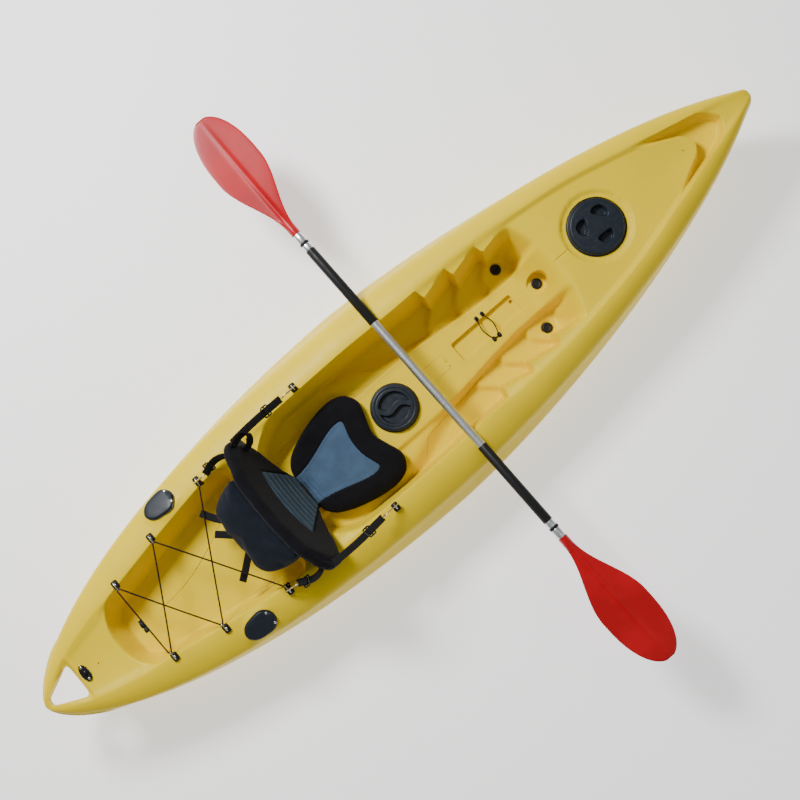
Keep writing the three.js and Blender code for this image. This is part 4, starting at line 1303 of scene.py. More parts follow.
@dataclass
class Hatch:
    """A round hatch: its rim in the deck and its lid."""

    word: str
    body: Body
    x: float
    rim: float
    lid: float
    seat: float
    swirl: bool
    thick: float = 13

    def build(self) -> None:
        """Makes the rim and the lid."""
        foot = self.seat + REST_GAP
        inner, collar, r = self.lid - 17, self.rim - 16, self.rim
        edge = [(r - 0.4, 0), (r, 0.8), (r - 0.5, 3), (r - 2.2, 4.4), (self.lid + 1, 5.9)]
        ring = [(inner, -28), (collar, -28), (collar, 0), *edge, (inner, 6.0), (inner, -28)]
        rim = revolved(f"{self.word}_hatch_flange", ring, at(self.x, 0, foot), 128)
        crisp(rim, 40)
        dress(rim, FINISH.slate, Slot.HATCH, Body.KAYAK, f"{self.word}_hatch_rim")
        lid = self.lid_mesh(foot + 6.3)
        dress(lid, FINISH.slate, Slot.HATCH, self.body, f"{self.word}_hatch_lid")

    def lid_mesh(self, foot: float) -> bpy.types.Object:
        """The lid: a plug and side below, and a top whose height depends on radius and angle."""
        sides = 160
        angle = np.linspace(0, 2 * np.pi, sides, endpoint=False)
        lid, t = self.lid, self.thick
        below = [
            (0.01, -16.0), (lid - 19, -16.0), (lid - 19, 0.0), (lid - 0.8, 0.0), (lid, 0.8), (lid, t - 5.5),
            (lid - 0.6, t - 3.6), (lid - 1.9, t - 2.0),
        ]
        radii = np.concatenate([lid - np.array([3.2, 4.6, 6.2]), np.linspace(lid - 8, 0.01, 56)])
        rings = [np.stack([r * np.cos(angle), r * np.sin(angle), np.full(sides, z)], -1) for r, z in below]
        for r in radii:
            px, py = r * np.cos(angle), r * np.sin(angle)
            rings.append(np.stack([px, py, self.top(px, py)], -1))
        made = surface(f"{self.word}_hatch_cover", placed(np.stack(rings), at(self.x, 0, foot)), ring=True)
        crisp(made, 42)
        return made

    def top(self, x: np.ndarray, y: np.ndarray) -> np.ndarray:
        """Height of the lid's top over its foot.

        Args:
            x: distances forward of the lid's centre.
            y: distances to port of it.

        Returns:
            A crowned disc with three finger recesses, or a ring round a dished middle with a wavy grip.
        """
        r = np.hypot(x, y)
        z = self.thick - 1.6 + 2.6 * ease((self.lid - r) / 6) - 1.0
        if not self.swirl:
            z = z + 2.4 * (1 - (r / self.lid) ** 2)
            for px, py, turn in ((41, 33, 38), (-40, 27, 146), (3, -47, 268)):
                c, s = math.cos(math.radians(turn)), math.sin(math.radians(turn))
                u, v = (x - px) * c + (y - py) * s, -(x - px) * s + (y - py) * c
                bent = u + 0.012 * v * v
                q = np.hypot(bent / 18, v / 29)
                z = z - 21 * ease((1 - q) / 0.34)
            return z - 1.4 * np.exp(-(((r - self.lid + 7) / 1.3) ** 2))
        z = z - 1.5 * np.exp(-(((r - self.lid + 13) / 1.4) ** 2))
        c, s = math.cos(math.radians(-24)), math.sin(math.radians(-24))
        u, v = x * c + y * s, -x * s + y * c
        wave = v - 11 * np.sin(np.clip(u / 50, -1, 1) * np.pi)
        bar = ease((13 - np.abs(wave)) / 4)
        well = ease((self.lid - 23 - r) / 4.5)
        return z - 14 * well * (1 - bar)


@dataclass(frozen=True)
class Eye:
    """Place of a pad eye on a rail's crest."""

    side: int
    x: float
    y: float
    z: float
    reach: float

    def hole(self, dx: float = 0.0, inboard: float = 0.0) -> np.ndarray:
        """The point inside the eye's link that a cord or hook passes through."""
        return np.array([self.x + dx, self.y - self.side * (self.reach - 5.5 + inboard), self.z + 10])


@dataclass
class PadEyes:
    """The moulded eyes screwed along both rails, each with a wire link."""

    form: HullForm = HULL
    places: tuple[tuple[str, float, float], ...] = (
        ("tank_aft", -1054, 1.02), ("tank_mid", -874, 1.05), ("tank_fore", -645, 1.06),
        ("seat_fore", -220, 1.06),
    )

    def eye(self, name: str, side: int) -> Eye:
        """One eye's place."""
        x, share = next((x, share) for n, x, share in self.places if n == name)
        y = float(self.form.crest(np.array([x]))[0]) * share
        return Eye(side, x, side * y, self.form.height(x, y) + 2, 8 if name == "seat_fore" else 22)

    def build(self) -> None:
        """Makes every eye, its screw and its link."""
        for name, _, _ in self.places:
            for side, word in SIDES:
                self.one(self.eye(name, side), f"{name}_{word}")

    @staticmethod
    def outline(a: float, b: float, shift: float) -> np.ndarray:
        """A rectangle with soft corners, a and b being its half sides, moved across by a shift."""
        corners = np.linspace(0, 2 * np.pi, 56, endpoint=False)
        cs, sn = np.cos(corners), np.sin(corners)
        power = 2 / 4.5
        x, y = (half * np.sign(v) * np.abs(v) ** power for half, v in ((a, cs), (b, sn)))
        return np.stack([x, y + shift], -1)

    def one(self, eye: Eye, label: str) -> None:
        """One eye: a soft-cornered black saddle, a bright screw in a cup, and a bent wire link."""
        inboard = -eye.side
        steps = [
            (11, 15, 0, -1.8), (11.4, 15.4, 0, 0.4), (11, 15, 0, 2.4), (9.6, 13.6, 0, 3.6),
            (8.8, 11, inboard * 0.8, 5.4), (7.6, 9.6, inboard * 0.8, 6.6), (5.6, 7.2, inboard * 0.5, 6.9),
            (5.0, 5.2, 0, 5.4), (0.2, 0.2, 0, 5.2),
        ]
        grid = layered((self.outline(a, b, shift), z) for a, b, shift, z in steps)
        place = at(eye.x, eye.y, eye.z)
        saddle = solid(f"saddle_{label}", placed(grid, place))
        crisp(saddle, 40)
        dress(saddle, FINISH.black, Slot.PAD_EYE, Body.KAYAK, f"pad_eye_{label}")
        head = screw(at(eye.x, eye.y, eye.z + 5.4, 30), 4.4)
        reach = eye.reach
        far = [(reach / 2, 16), (reach - 3, 15), (reach + 2, 10), (reach - 3, 5)]
        loop = [(0.0, inboard * y, z) for y, z in ((-6, 3), (-8, 9), (-3, 15), *far, (6, 4))]
        path = spline(np.array(loop), 64, closed=True) + [eye.x, eye.y, eye.z]
        link = ring_wire("link", path, 1.7, 10)
        dress(joined(f"eye_link_{label}", [head, link]), FINISH.steel, Slot.STEEL, Body.KAYAK)


@dataclass
class Lacing:
    """Shock cord over the tank well, its cord lock, and the console's short loop."""

    eyes: PadEyes
    form: HullForm = HULL
    radius: float = 2.5
    turn: float = 12

    def build(self) -> None:
        """Makes the lacing, its end knots, the cord lock and the tray's loop."""
        stops = [("fore", 1), ("mid", -1), ("aft", 1), ("aft", -1), ("mid", 1), ("fore", -1)]
        points: list[np.ndarray] = []
        for i, (name, side) in enumerate(stops):
            eye = self.eyes.eye(f"tank_{name}", side)
            heading = -1 if i < 3 else 1
            first, last = i == 0, i == len(stops) - 1
            if not first:
                points.append(eye.hole(-self.turn * heading * 0.5, 6))
            points.append(eye.hole((-5 * heading if first else 5 * heading) if first or last else 0))
            if not last:
                points.append(eye.hole(self.turn * heading * 0.5, 6))
        bent: list[np.ndarray] = []
        lifts = {1: 4.5, 4: 4.5, 7: 0.0, 10: -4.5, 13: -4.5}
        for i, p in enumerate(points):
            bent.append(p)
            if i + 1 < len(points) and np.linalg.norm(points[i + 1] - p) > 60:
                lift = lifts.get(i, 0.0)
                for t in (0.02, 0.05, 0.25, 0.5, 0.75, 0.95, 0.98):
                    bent.append(mix(p, points[i + 1], t) + [0, 0, lift * math.sin(math.pi * t)])
        cord = woven("well_lacing", spline(np.array(bent), 620), round_section(self.radius, 12))
        knots = [self.knot(self.eyes.eye("tank_fore", side).hole(5)) for side, _ in SIDES]
        whole = joined("well_lacing_cord", [cord, *knots])
        whole.data.shade_smooth()
        dress(whole, FINISH.cord, Slot.CORD, Body.KAYAK, "tank_lacing")
        self.lock()
        self.tray()

    @staticmethod
    def knot(place: np.ndarray) -> bpy.types.Object:
        """A stopper knot: a ball of two crossing turns."""
        t = np.linspace(0, 2 * np.pi, 60, endpoint=False)
        x, y = 4.2 * np.cos(2 * t) * (1 + 0.2 * np.cos(3 * t)), 4.2 * np.sin(2 * t)
        path = np.stack([x, y, 3.0 * np.sin(3 * t)], -1)
        return ring_wire("knot", path + place + [4, 0, 0], 2.3)

    def lock(self) -> None:
        """The cord lock on the aft line: two barrels, a neck between them, and a bead at its forward end."""
        eye = self.eyes.eye("tank_aft", 1)
        x, _, z = eye.hole(-self.turn, 8)
        run = [
            (-35, 2.8), (-34, 6.4), (-31, 7.6), (-22, 7.8), (-20, 5.4), (-16, 5.0), (-14, 7.4), (-4, 7.8),
            (2, 7.4), (4, 4.8), (7, 4.8), (9, 6.6), (11, 5.6), (11.5, 2.8),
        ]
        ring = round_section(1.0, 28)
        a, b = ring.T
        rings = [np.column_stack([a * r * 1.05, np.full(28, y), b * r * 0.85]) for y, r in run]
        body = solid("well_cord_lock", np.stack(rings) + [x, 0, z])
        crisp(body, 50)
        dress(body, FINISH.rubber, Slot.RUBBER, Body.KAYAK, "cord_lock")

    def tray(self) -> None:
        """The console's loop of thin cord between four hooks."""
        z = self.form.spine_top + 4.0
        pts = [
            (375, 42, z), (372, 34, z), (364, 0, z + 3), (371, -33, z), (377, -43, z), (391, -45, z),
            (399, -34, z), (407, 0, z + 3), (400, 34, z), (398, 42, z),
        ]
        cord = woven("cord", spline(np.array(pts), 150), round_section(1.9, 10))
        dress(cord, FINISH.cord, Slot.CORD, Body.KAYAK, "tray_cord")
        cord.name = "console_cord"
        parts = []
        for x, y in ((374, 40), (399, 40), (375, -42), (397, -42)):
            ring = spline(np.array([(5, 0, 0), (0, 5, 0), (-5, 0, 0), (0, -5, 0)]), 32, closed=True)
            parts.append(ring_wire("ring", ring + [x, y, z - 2.2], 1.8))
            foot = [(0.01, -4), (6.5, -4), (6.5, -2.4), (5.4, -1.8), (0.01, -1.6)]
            parts.append(revolved("foot", foot, at(x, y + (6 if y > 0 else -6), z), 24))
        hooks = joined("console_cord_hooks", parts)
        crisp(hooks, 45)
        dress(hooks, FINISH.black, Slot.PAD_EYE, Body.KAYAK)


@dataclass
class Plugs:
    """Rubber scupper plugs and the stern's drain plug."""

    hull: Hull
    drain_x: float = -1307

    def build(self) -> None:
        """Makes each plug."""
        names = ("port", "starboard", "console")
        for name, (x, y, recess) in zip(names, self.hull.scuppers, strict=True):
            z = self.hull.plug_seat(x, y, recess) + 1.3
            profile = [
                (0.01, -42), (10.5, -42), (13, -1), (17.4, -1), (18, -0.2), (18, 2.2), (17, 4.0), (14.6, 5.6),
                (12.6, 5.9), (11.4, 5.0), (10.4, 4.2), (5.5, 4.0), (4.6, 5.2), (0.01, 5.5),
            ]
            plug = revolved(f"scupper_bung_{name}", profile, at(x, y, z), 56)
            crisp(plug, 45)
            dress(plug, FINISH.rubber, Slot.RUBBER, Body.KAYAK, f"scupper_plug_{name}")
        self.drain()

    def drain(self) -> None:
        """The drain plug: an oval plate across the deck, a knob in its middle, and two screws."""
        x = self.drain_x
        z = self.hull.form.height(x, 0) + 4.5
        ring = round_section(1.0, 56)
        plate = [(14.4, 29, -2), (15, 30, -1.2), (15, 30, 0.6), (14, 29, 1.8), (8, 22, 2.2), (0.3, 0.6, 2.3)]
        body = solid("plate", placed(layered((ring * [a, b], h) for a, b, h in plate), at(x, 0, z)))
        knob = [
            (0.01, 1), (11.2, 1), (11.2, 3.2), (10.4, 4.0), (9.6, 4.0), (9.2, 2.8), (8, 2.8), (7.6, 6.2),
            (6.6, 7.0), (0.01, 7),
        ]
        turned = revolved("knob", knob, at(x, 0, z), 48)
        whole = joined("drain_plate", [body, turned])
        crisp(whole, 40)
        dress(whole, FINISH.black, Slot.STEEL, Body.KAYAK, "drain_plug")
        heads = [screw(at(x, y, z + 1.6, 20), 4.6) for y in (-21.5, 21.5)]
        oval = spline(np.array([(15, 0, 0), (0, 30, 0), (-15, 0, 0), (0, -30, 0)]), 90, closed=True)
        bright = joined("drain_screws", [*heads, ring_wire("rim", oval + [x, 0, z + 0.4], 0.9)])
        crisp(bright, 40)
        dress(bright, FINISH.steel, Slot.STEEL, Body.KAYAK)


# ---------------------------------------------------------------- seat


def puffed(thing: bpy.types.Object, cap: float, pressure: float = 4.0) -> None:
    """Fills a closed shape like a stuffed cushion by a cloth simulation.

    Args:
        thing: the closed piece.
        cap: farthest that a vertex may move, in millimetres.
        pressure: pressure inside.
    """
    voxel, frames = 6.0, 18
    remesh = thing.modifiers.new("remesh", "REMESH")
    remesh.mode = "VOXEL"
    remesh.voxel_size = voxel * MM
    bake(thing)
    before = coordinates(thing)
    cloth = thing.modifiers.new("cloth", "CLOTH")
    s = cloth.settings
    s.quality, s.mass = 5, 0.3
    s.tension_stiffness = s.compression_stiffness = 12
    s.shear_stiffness, s.bending_stiffness = 5, 0.6
    s.use_pressure = True
    s.uniform_pressure_force = pressure
    s.effector_weights.gravity = 0
    cloth.collision_settings.use_collision = False
    cloth.point_cache.frame_start, cloth.point_cache.frame_end = 1, frames + 2
    scene = bpy.context.scene
    for frame in range(1, frames + 1):
        scene.frame_set(frame)
    bake(thing)
    move = coordinates(thing) - before
    far = np.linalg.norm(move, axis=1, keepdims=True)
    move *= cap * np.tanh(far / cap) / np.maximum(far, 1e-9)
    set_coordinates(thing, before + move)
    scene.frame_set(1)
    log.info("%s: moved up to %.1f mm", thing.name, float(far.max()))
    smooth = thing.modifiers.new("smooth", "SMOOTH")
    smooth.factor, smooth.iterations = 0.5, 6
    bake(thing)
    fine = thing.modifiers.new("fine", "SUBSURF")
    fine.levels = fine.render_levels = 1
    bake(thing)
    thing.data.shade_smooth()


def sewn(thing: bpy.types.Object, points: np.ndarray, panel: np.ndarray) -> None:
    """Moves a soft piece's vertices to points, and stores each one's share of the lighter panel."""
    set_coordinates(thing, points)
    point_attribute(thing, "panel", np.stack([panel, 0 * panel, 0 * panel], axis=1))
    thing.data.shade_smooth()


@dataclass
class Seat:
    """The clip-in seat: cushion, backrest, pouch, and the straps that hold them."""

    eyes: PadEyes
    y: float = -19
    hinge: tuple[float, float] = (-408, 188)
    recline: float = 20
    height: float = 318
    thick: float = 28
    wing: float = 255
    wrap: float = 34
    cushion_low: float = 138.3

    def on_back(self, y: np.ndarray, h: np.ndarray, depth: np.ndarray) -> np.ndarray:
        """Points fixed to the backrest, by their place across it, up its slope, and behind its front face."""
        y, h, depth = np.broadcast_arrays(*(np.asarray(v, float) for v in (y, h, depth)))
        p = np.stack([self.wrap * (y / self.wing) ** 2 - depth, y, h], axis=-1)
        return turned_about(p, (0, 1, 0), -self.recline) + [self.hinge[0], self.y, self.hinge[1]]

    def from_back(self, points: np.ndarray) -> tuple[np.ndarray, np.ndarray, np.ndarray]:
        """The reverse of on_back: place across, up the slope, and depth behind the front face."""
        p = turned_about(points - [self.hinge[0], self.y, self.hinge[1]], (0, 1, 0), self.recline)
        return p[:, 1], p[:, 2], self.wrap * (p[:, 1] / self.wing) ** 2 - p[:, 0]

    def build(self) -> None:
        """Makes the seat's pieces in order."""
        self.cushion()
        self.backrest()
        self.pouch()
        self.straps()

    def cushion(self) -> None:
        """The cushion: wide lobes round the hatch, a narrow neck aft, and a sunk lighter panel."""
        half = [
            (-420, 0), (-419, 76), (-394, 116), (-345, 146), (-290, 166), (-225, 180), (-165, 182),
            (-119, 165), (-93, 120), (-97, 86), (-107, 52), (-120, 0),
        ]
        pts = half + [(x, -y) for x, y in half[-2:0:-1]]
        outline = spline(np.array([(x, y, 0.0) for x, y in pts]), 220, closed=True)[:, :2]
        middle = np.array([-250.0, 0.0])
        steps = [(0.965, 0.0), (0.99, 6), (1.0, 16), (1.0, 26), (0.985, 36), (0.95, 42), (0.9, 44)]
        grid = layered((middle + (outline - middle) * k, z) for k, z in steps)
        thing = solid("seat_pad", grid + [0, self.y, self.cushion_low])
        puffed(thing, 7)
        p = coordinates(thing)
        x, y, z = p[:, 0], p[:, 1] - self.y, p[:, 2] - self.cushion_low
        wide = mix(56, 104, ease((x + 400) / 215))
        front = -170 - 28 * (1 - clamp(np.abs(y) / 96) ** 2)
        soft = 13.0
        inside = -soft * np.log(np.exp(-np.clip((wide - np.abs(y)) / soft, -40, 40))
                                + np.exp(-np.clip((front - x) / soft, -40, 40)))
        top = ease((z - 30) / 10)
        panel = ease(inside / 3 + 0.5)
        lift = -3.5 * ease(inside / 10) - 3.5 * np.exp(-((inside / 3.2) ** 2))
        ribs = ease((-360 - x) / 12) * (0.5 - 0.5 * np.cos((x + 360) / 14 * 2 * np.pi)) * ease(inside / 6)
        z = np.maximum(z + top * (lift + 4.0 * ribs), 0.2)
        sewn(thing, np.stack([x, y + self.y, z + self.cushion_low], axis=1), panel * top)
        dress(thing, FINISH.seat, Slot.SEAT_BLACK, Body.KAYAK, "seat_cushion")

    def half_width(self, h: np.ndarray) -> np.ndarray:
        """Half width of the backrest at a height up its slope."""
        t = h / self.height
        wing = mix(70, self.wing, ease((t + 0.02) / 0.62))
        return wing * (1 - clamp((t - 0.74) / 0.26) ** 2.2 * 0.4)

    def backrest(self) -> None:
        """The backrest: wings that wrap forward, and a ribbed lighter panel that narrows to its foot."""
        h = np.linspace(3, self.height, 60)[:, None]
        y = self.half_width(h) * np.linspace(-1, 1, 70)
        thing = shell("seat_backrest", *(self.on_back(y, h, depth) for depth in (0.0, self.thick)))
        puffed(thing, 9)
        y, h, depth = self.from_back(coordinates(thing))
        wide = mix(54, 124, clamp(h / 190))
        top = 190 + 16 * (1 - (y / 125) ** 2)
        inside = np.minimum(wide - np.abs(y), top - h)
        front = ease((8 - depth) / 9)
        panel = ease(inside / 3 + 0.5)
        channel = 0.5 - 0.5 * np.cos(h / 27 * 2 * np.pi)
        lift = -2.5 * ease(inside / 9) - 3.5 * np.exp(-((inside / 3.5) ** 2))
        lift = lift + 5.5 * channel**0.7 * ease(inside / 7)
        seam = np.exp(-(((self.half_width(h) - 24 - np.abs(y)) / 3) ** 2)) * ease((h - 60) / 30)
        lift = lift - 2.2 * seam * (inside < -6)
        sewn(thing, self.on_back(y, h, depth - front * lift), panel * front)
        dress(thing, FINISH.ribbed, Slot.SEAT_GREY, Body.BACKREST, "seat_back")

    def pouch(self) -> None:
        """The soft pouch behind the backrest, with its flap's edge."""
        u, v = np.linspace(0, 1, 40)[:, None], np.linspace(-1, 1, 44)[None, :]
        y = 160 * v * (1 - 0.06 * (1 - u))
        h = mix(96, 302, u)
        bulge = (1 - v**10) * (1 - (2 * u - 1) ** 10)
        outer = self.on_back(y, h, 30 + 14 + (158 - 14) * bulge * (1 - 0.10 * u))
        inner = self.on_back(y, h, 29.5 + self.wrap * (y / self.wing) ** 2)
        thing = shell("seat_bag", outer, inner)
        puffed(thing, 10, 3.0)
        y, h, depth = self.from_back(coordinates(thing))
        slack = ease((depth - 60) / 40)
        fold = np.sin(y / 21 + 1.9 * np.sin(h / 29)) + 0.6 * np.sin(y / 10 + h / 17)
        sag = 6.0 * fold * slack * (0.35 + 0.65 * ease((240 - h) / 120))
        flap = -3.5 * np.exp(-(((h - 236 - 6 * np.cos(y / 60)) / 4) ** 2)) * slack
        sewn(thing, self.on_back(y, h - 6 * slack * (y / 160) ** 2, depth + sag + flap), 0 * y)
        dress(thing, FINISH.bag, Slot.SEAT_BLACK, Body.BACKREST, "seat_pouch")

    def straps(self) -> None:
        """The four straps with their buckles and snap hooks, the webbing loop, and the loose strap tails."""
        places = (
            ("front", "seat_fore", self.wing - 16, 262, -8.0),
            ("rear", "tank_fore", self.wing - 30, 246, self.thick + 8),
        )
        for side, word in SIDES:
            for end, eye_name, across, up, depth in places:
                eye = replace(self.eyes.eye(eye_name, side), reach=8)
                self.strap(end, word, side, eye, self.on_back(side * across, up, depth))
        self.loop()
        self.tails()

    def strap(self, end: str, word: str, side: int, eye: Eye, top: np.ndarray) -> None:
        """One strap from the backrest to its snap hook, and the hook through its pad eye."""
        hole = eye.hole()
        along = (top - hole) / np.linalg.norm(top - hole)
        up = np.cross([0, 1, 0], along)
        up *= np.sign(up[2]) / np.linalg.norm(up)
        start = hole + [0, 0, 8 / up[2] - 0.5]
        half = [(-8, 6.5), (4, 8), (22, 7.4), (40, 7)]
        wire = [(-12, 0), *half, (48, 0), *((s, -n) for s, n in half[::-1])]
        path = spline(np.array([start + along * s + up * n for s, n in wire]), 72, closed=True)
        ring = ring_wire("ring", path, 2.0, 10)
        gate = np.stack([start + along * s + up * n for s, n in ((-7, 5), (6, 2.5), (20, 1.0), (33, 5.5))])
        latch = bar("gate", spline(gate, 16), 1.4)
        barrel = bar("barrel", np.stack([start + along * s for s in (44, 50, 56)]), 3.4, 14)
        hook = joined(f"snap_hook_{end}_{word}", [ring, latch, barrel])
        crisp(hook, 50)
        dress(hook, FINISH.brass, Slot.BRASS, Body.KAYAK, f"hook_{end}_{word}")
        far = start + along * 60
        middle = mix(top, far, 0.5)
        sag = np.array([0, side * (4 if end == "front" else 14), -7.0])
        pts = [top, mix(top, far, 0.25) + 0.8 * sag, middle + sag, mix(top, far, 0.78) + 0.6 * sag, far]
        line = spline(np.array(pts), 60)
        across = np.array([0.0, side, 0.9 if end == "rear" else 0.45])
        web = woven("web", line, flat_section(25, 2.4), side=across)
        lying = [mix(far, top, 0.1) + up * 4, mix(far, top, 0.32) + up * 4 + sag * 0.6]
        fold = spline(np.array([far, far + along * 3 + up * 3, *lying]), 30)
        tail = woven("tail", fold, flat_section(24.6, 2.2), side=across)
        strap = joined_woven(f"seat_strap_{end}_{word}", [web, tail])
        dress(strap, FINISH.web, Slot.WEBBING, None, f"strap_{end}_{word}")
        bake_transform(strap)
        share = 0.30 if end == "front" else 0.26
        where = mix(far, top, share) + sag * 0.7
        buckle = self.buckle(where, along, across, up)
        buckle.name = f"strap_buckle_{end}_{word}"
        dress(buckle, FINISH.black, Slot.PAD_EYE, None)
        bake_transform(buckle)

    @staticmethod
    def buckle(
        where: np.ndarray, along: np.ndarray, across: np.ndarray, up: np.ndarray
    ) -> bpy.types.Object:
        """A ladder buckle: an oblong frame with a bar across its middle."""
        wide = across - along * np.dot(along, across)
        wide /= np.linalg.norm(wide)
        corners = [(-13, -17), (13, -17), (13, 17), (-13, 17)]
        loop = []
        for k, (a, b) in enumerate(corners):
            nxt = corners[(k + 1) % 4]
            for t in (0.12, 0.5, 0.88):
                loop.append(where + along * mix(a, nxt[0], t) + wide * mix(b, nxt[1], t) + up * 1.5)
        frame = ring_wire("frame", spline(np.array(loop), 60, closed=True), 2.6)
        rung = bar("rung", np.stack([where + wide * t + up * 2.5 for t in (-16, 0, 16)]), 2.4)
        made = joined("buckle", [frame, rung])
        crisp(made, 50)
        return made

    def loop(self) -> None:
        """A webbing handle standing from the port wing."""
        pts = [
            (228, 250, 2), (236, 256, -22), (240, 256, -48), (226, 244, -60), (208, 226, -44), (202, 214, 0),
        ]
        line = spline(np.stack([self.on_back(y, h, d) for y, h, d in pts]), 50)
        side = self.on_back(220, 262, 0) - self.on_back(180, 204, 0)
        loop = woven("wing_loop", line, flat_section(24, 2.4), side=side)
        dress(loop, FINISH.web, Slot.WEBBING, Body.BACKREST)

    def tails(self) -> None:
        """The loose ends of webbing that lie over the pouch and hang behind it."""
        ends = [
            [(-618, 60, 330), (-652, 72, 318), (-676, 98, 300), (-694, 128, 290), (-702, 142, 286)],
            [(-612, -8, 332), (-645, 4, 322), (-672, 26, 304), (-696, 48, 294), (-710, 60, 290)],
            [(-606, -18, 318), (-645, -42, 300), (-684, -66, 276), (-716, -88, 262), (-746, -108, 254)],
        ]
        for k, pts in enumerate(ends):
            line = spline(np.array(pts, float), 60)
            side = np.cross(line[-1] - line[0], [0.15, 0.1, 1.0])
            tail = woven(f"strap_tail_{k + 1}", line, flat_section(24, 2.2), side=side)
            dress(tail, FINISH.web, Slot.WEBBING, Body.BACKREST)


# ---------------------------------------------------------------- paddle


@dataclass
class Paddle:
    """A two-bladed paddle laid across the rails."""

    form: HullForm = HULL
    x: float = 110
    y: float = -25
    shaft: float = 14.5
    grip: float = 16.2
    bare: float = 515
    hold: float = 312
    ferrule: float = 66
    blade: tuple[float, float, float, float] = (492, 172, 16, 5)

    @property
    def z(self) -> float:
        """Height of the paddle's axis: its grips rest on the rails' crests."""
        crest = float(self.form.crest(np.array([self.x]))[0])
        return self.form.height(self.x, crest) + self.grip + REST_GAP

    def rod(self, name: str, profile: list[tuple[float, float]]) -> bpy.types.Object:
        """A piece turned about the paddle's own axis, from (radius, distance along) pairs."""
        made = revolved(name, profile, at(self.x, self.y, self.z, -90, "X"), 56)
        crisp(made, 40)
        return made

    def build(self) -> None:
        """Makes the shaft, the two grips, the ferrules' rings and the two blades."""
        inner, outer = self.bare / 2, self.bare / 2 + self.hold
        end = outer + self.ferrule
        steps = [
            (15.9, 1.2), (16.1, 2), (16.1, 21), (15.7, 22), (15.5, 22.4), (15.5, 31.6), (15.7, 32),
            (16.1, 33),
        ]
        neck = [(self.shaft, 0), (self.shaft, outer + 0.5)]
        ferrule = [(r, outer + d) for r, d in steps]
        half = [*neck, *ferrule, (16.1, end - 1.2), (15.4, end - 0.2), (0.01, end)]
        profile = [(r, -d) for r, d in half[::-1]] + half[1:]
        shaft = self.rod("paddle_tube_bare", profile)
        dress(shaft, FINISH.tube, Slot.TUBE, Body.PADDLE, "paddle_shaft")
        for side, word in SIDES:
            sleeve = [
                (14.8, inner + 0.3), (15.6, inner + 0.3), (self.grip, inner + 1.2), (self.grip, outer - 1.2),
                (15.8, outer - 0.2), (14.8, outer - 0.2),
            ]
            line = [(r, side * d) for r, d in sleeve]
            grip = self.rod(f"paddle_sleeve_{word}", [*line, line[0]])
            dress(grip, FINISH.hold, Slot.HOLD, Body.PADDLE, f"paddle_grip_{word}")
            band = [(15.9, 22.2), (16.3, 22.8), (16.3, 31.2), (15.9, 31.8), (15.2, 27)]
            ring = [(r, side * (outer + d)) for r, d in band]
            seal = self.rod(f"paddle_ring_{word}", [*ring, ring[0]])
            dress(seal, FINISH.hold, Slot.HOLD, Body.PADDLE)
            self.blade_piece(side, word, end)

    def blade_piece(self, side: int, word: str, end: float) -> None:
        """A blade: an oval with a slight scoop, a rib down its middle and a round neck."""
        length, width, neck, thick = self.blade
        t = np.linspace(0, 1, 110)[:, None] ** 0.9
        s = np.sin(np.linspace(-np.pi / 2, np.pi / 2, 61))[None, :]
        end_round = np.sqrt(1 - clamp((t - 0.62) / 0.385) ** 2.3)
        half = mix(neck, width / 2, ease((t - 0.06) / 0.52)) * end_round
        flat = ease((t - 0.02) / 0.14)
        rib = 5 * np.exp(-(((s * half) / 8) ** 2)) * (1 - t) ** 0.8 * flat
        edge = np.sqrt(np.maximum(1 - s**2, 0)) ** 0.6
        round_neck = neck * np.sqrt(np.maximum(1 - s * s, 0))
        scoop = -3.0 * flat * (1 - (s * half / (width / 2)) ** 2) * np.sin(np.pi * clamp(t))
        faces = []
        for face in (1, -1):
            body = mix(round_neck, (thick / 2 + rib) * edge * clamp((1.0 - t) / 0.015) ** 0.5, flat)
            x = half * s + 7 * t * t
            y = side * (end + REST_GAP + length * t)
            faces.append(np.stack(np.broadcast_arrays(x, y, face * body + scoop), axis=-1))
        ring = np.concatenate([faces[0], faces[1][:, -2:0:-1]], axis=1)
        blade = solid(f"paddle_oval_{word}", ring + [self.x, self.y, self.z])
        crisp(blade, 60)
        dress(blade, FINISH.blade, Slot.BLADE, Body.PADDLE, f"paddle_blade_{word}")


# ---------------------------------------------------------------- studio


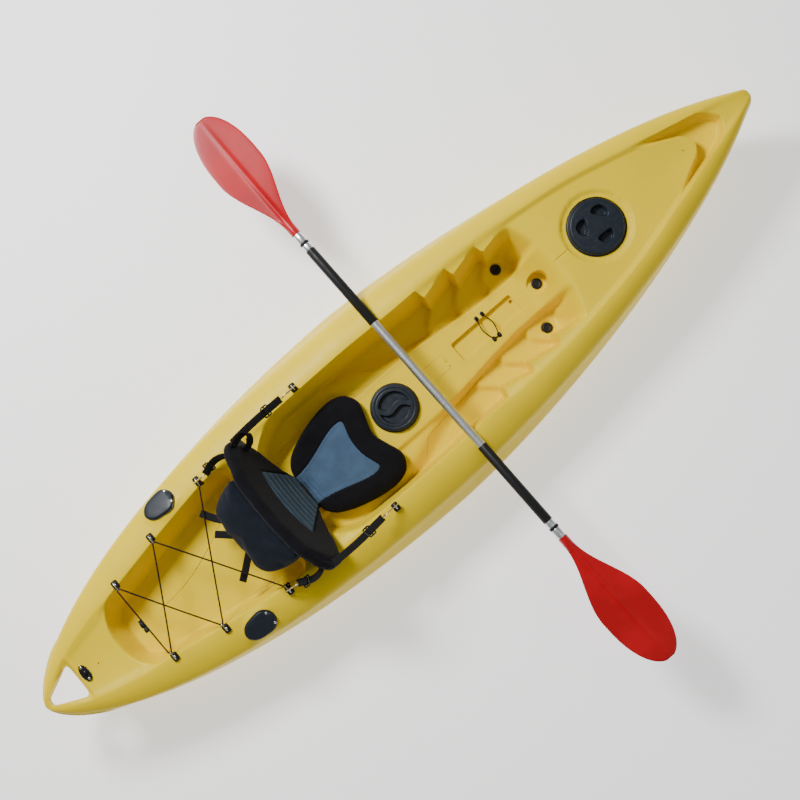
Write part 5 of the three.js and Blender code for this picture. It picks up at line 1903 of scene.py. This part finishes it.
@dataclass
class Set:
    """Floor, lights and camera."""

    target: tuple[float, float, float] = (0.0106, -0.0048, 0.285)
    away: float = 4.0
    lean: float = 5.0
    roll: float = 41.17
    width: float = 2.53
    reach: float = 60000
    ambient: Colour = (1.0, 0.985, 0.95)
    ambient_strength: float = 0.27

    def build(self) -> None:
        """Puts the pale floor, the soft lights and the camera in the scene."""
        ends = (-self.reach, self.reach)
        floor = surface("floor", np.array([[[x, y, 0.0] for x in ends] for y in ends]))
        floor.data.materials.append(Studio().build())
        self.light("key", (-0.6, 2.9, 3.6), 1.1, 265)
        self.light("fill", (1.2, -2.6, 3.4), 3.0, 14)
        world = bpy.context.scene.world or bpy.data.worlds.new("world")
        bpy.context.scene.world = world
        world.use_nodes = True
        back = world.node_tree.nodes["Background"]
        back.inputs[0].default_value = (*self.ambient, 1)
        back.inputs[1].default_value = self.ambient_strength
        self.camera()

    def light(self, name: str, place: tuple[float, float, float], size: float, power: float) -> None:
        """A square area light that faces the kayak."""
        lamp = bpy.data.lights.new(name, "AREA")
        lamp.shape, lamp.size, lamp.energy = "SQUARE", size, power
        thing = linked(name, lamp)
        thing.location = place
        thing.rotation_euler = (Vector(self.target) - Vector(place)).to_track_quat("-Z", "Y").to_euler()

    def camera(self) -> None:
        """A camera almost straight above, turned so that the kayak lies from corner to corner."""
        lean, roll = math.radians(self.lean), math.radians(self.roll)
        behind = Vector((0, -math.sin(lean), math.cos(lean)))
        ahead, aside = Vector((1, 0, 0)), Vector((0, math.cos(lean), math.sin(lean)))
        right = math.cos(roll) * ahead - math.sin(roll) * aside
        up = math.sin(roll) * ahead + math.cos(roll) * aside
        turn = Matrix((right, up, behind)).transposed().to_4x4()
        held = bpy.data.cameras.new("camera")
        held.sensor_width = 36
        held.lens = 36 * self.away / self.width
        held.dof.use_dof = False
        thing = linked("camera", held)
        thing.matrix_world = Matrix.Translation(Vector(self.target) + self.away * behind) @ turn
        bpy.context.scene.camera = thing


def main() -> None:
    """Builds every piece in order, then the set."""
    logging.basicConfig(level=logging.INFO, format="%(message)s")
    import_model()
    FINISH.build()
    hull = Hull()
    hull.build()
    for side, word in SIDES:
        RodHolder(side, word).build(hull)
    kinds = (("bow", Body.BOW_LID, 91, False), ("centre", Body.CENTRE_LID, 77, True))
    for (word, body, lid, swirl), (x, rim, _, drop_by) in zip(kinds, hull.hatches, strict=True):
        Hatch(word, body, x, rim, lid, hull.form.height(x, 0) - drop_by, swirl).build()
    eyes = PadEyes()
    eyes.build()
    Lacing(eyes).build()
    Plugs(hull).build()
    Seat(eyes).build()
    Paddle().build()
    Set().build()


if __name__ == "__main__":
    main()
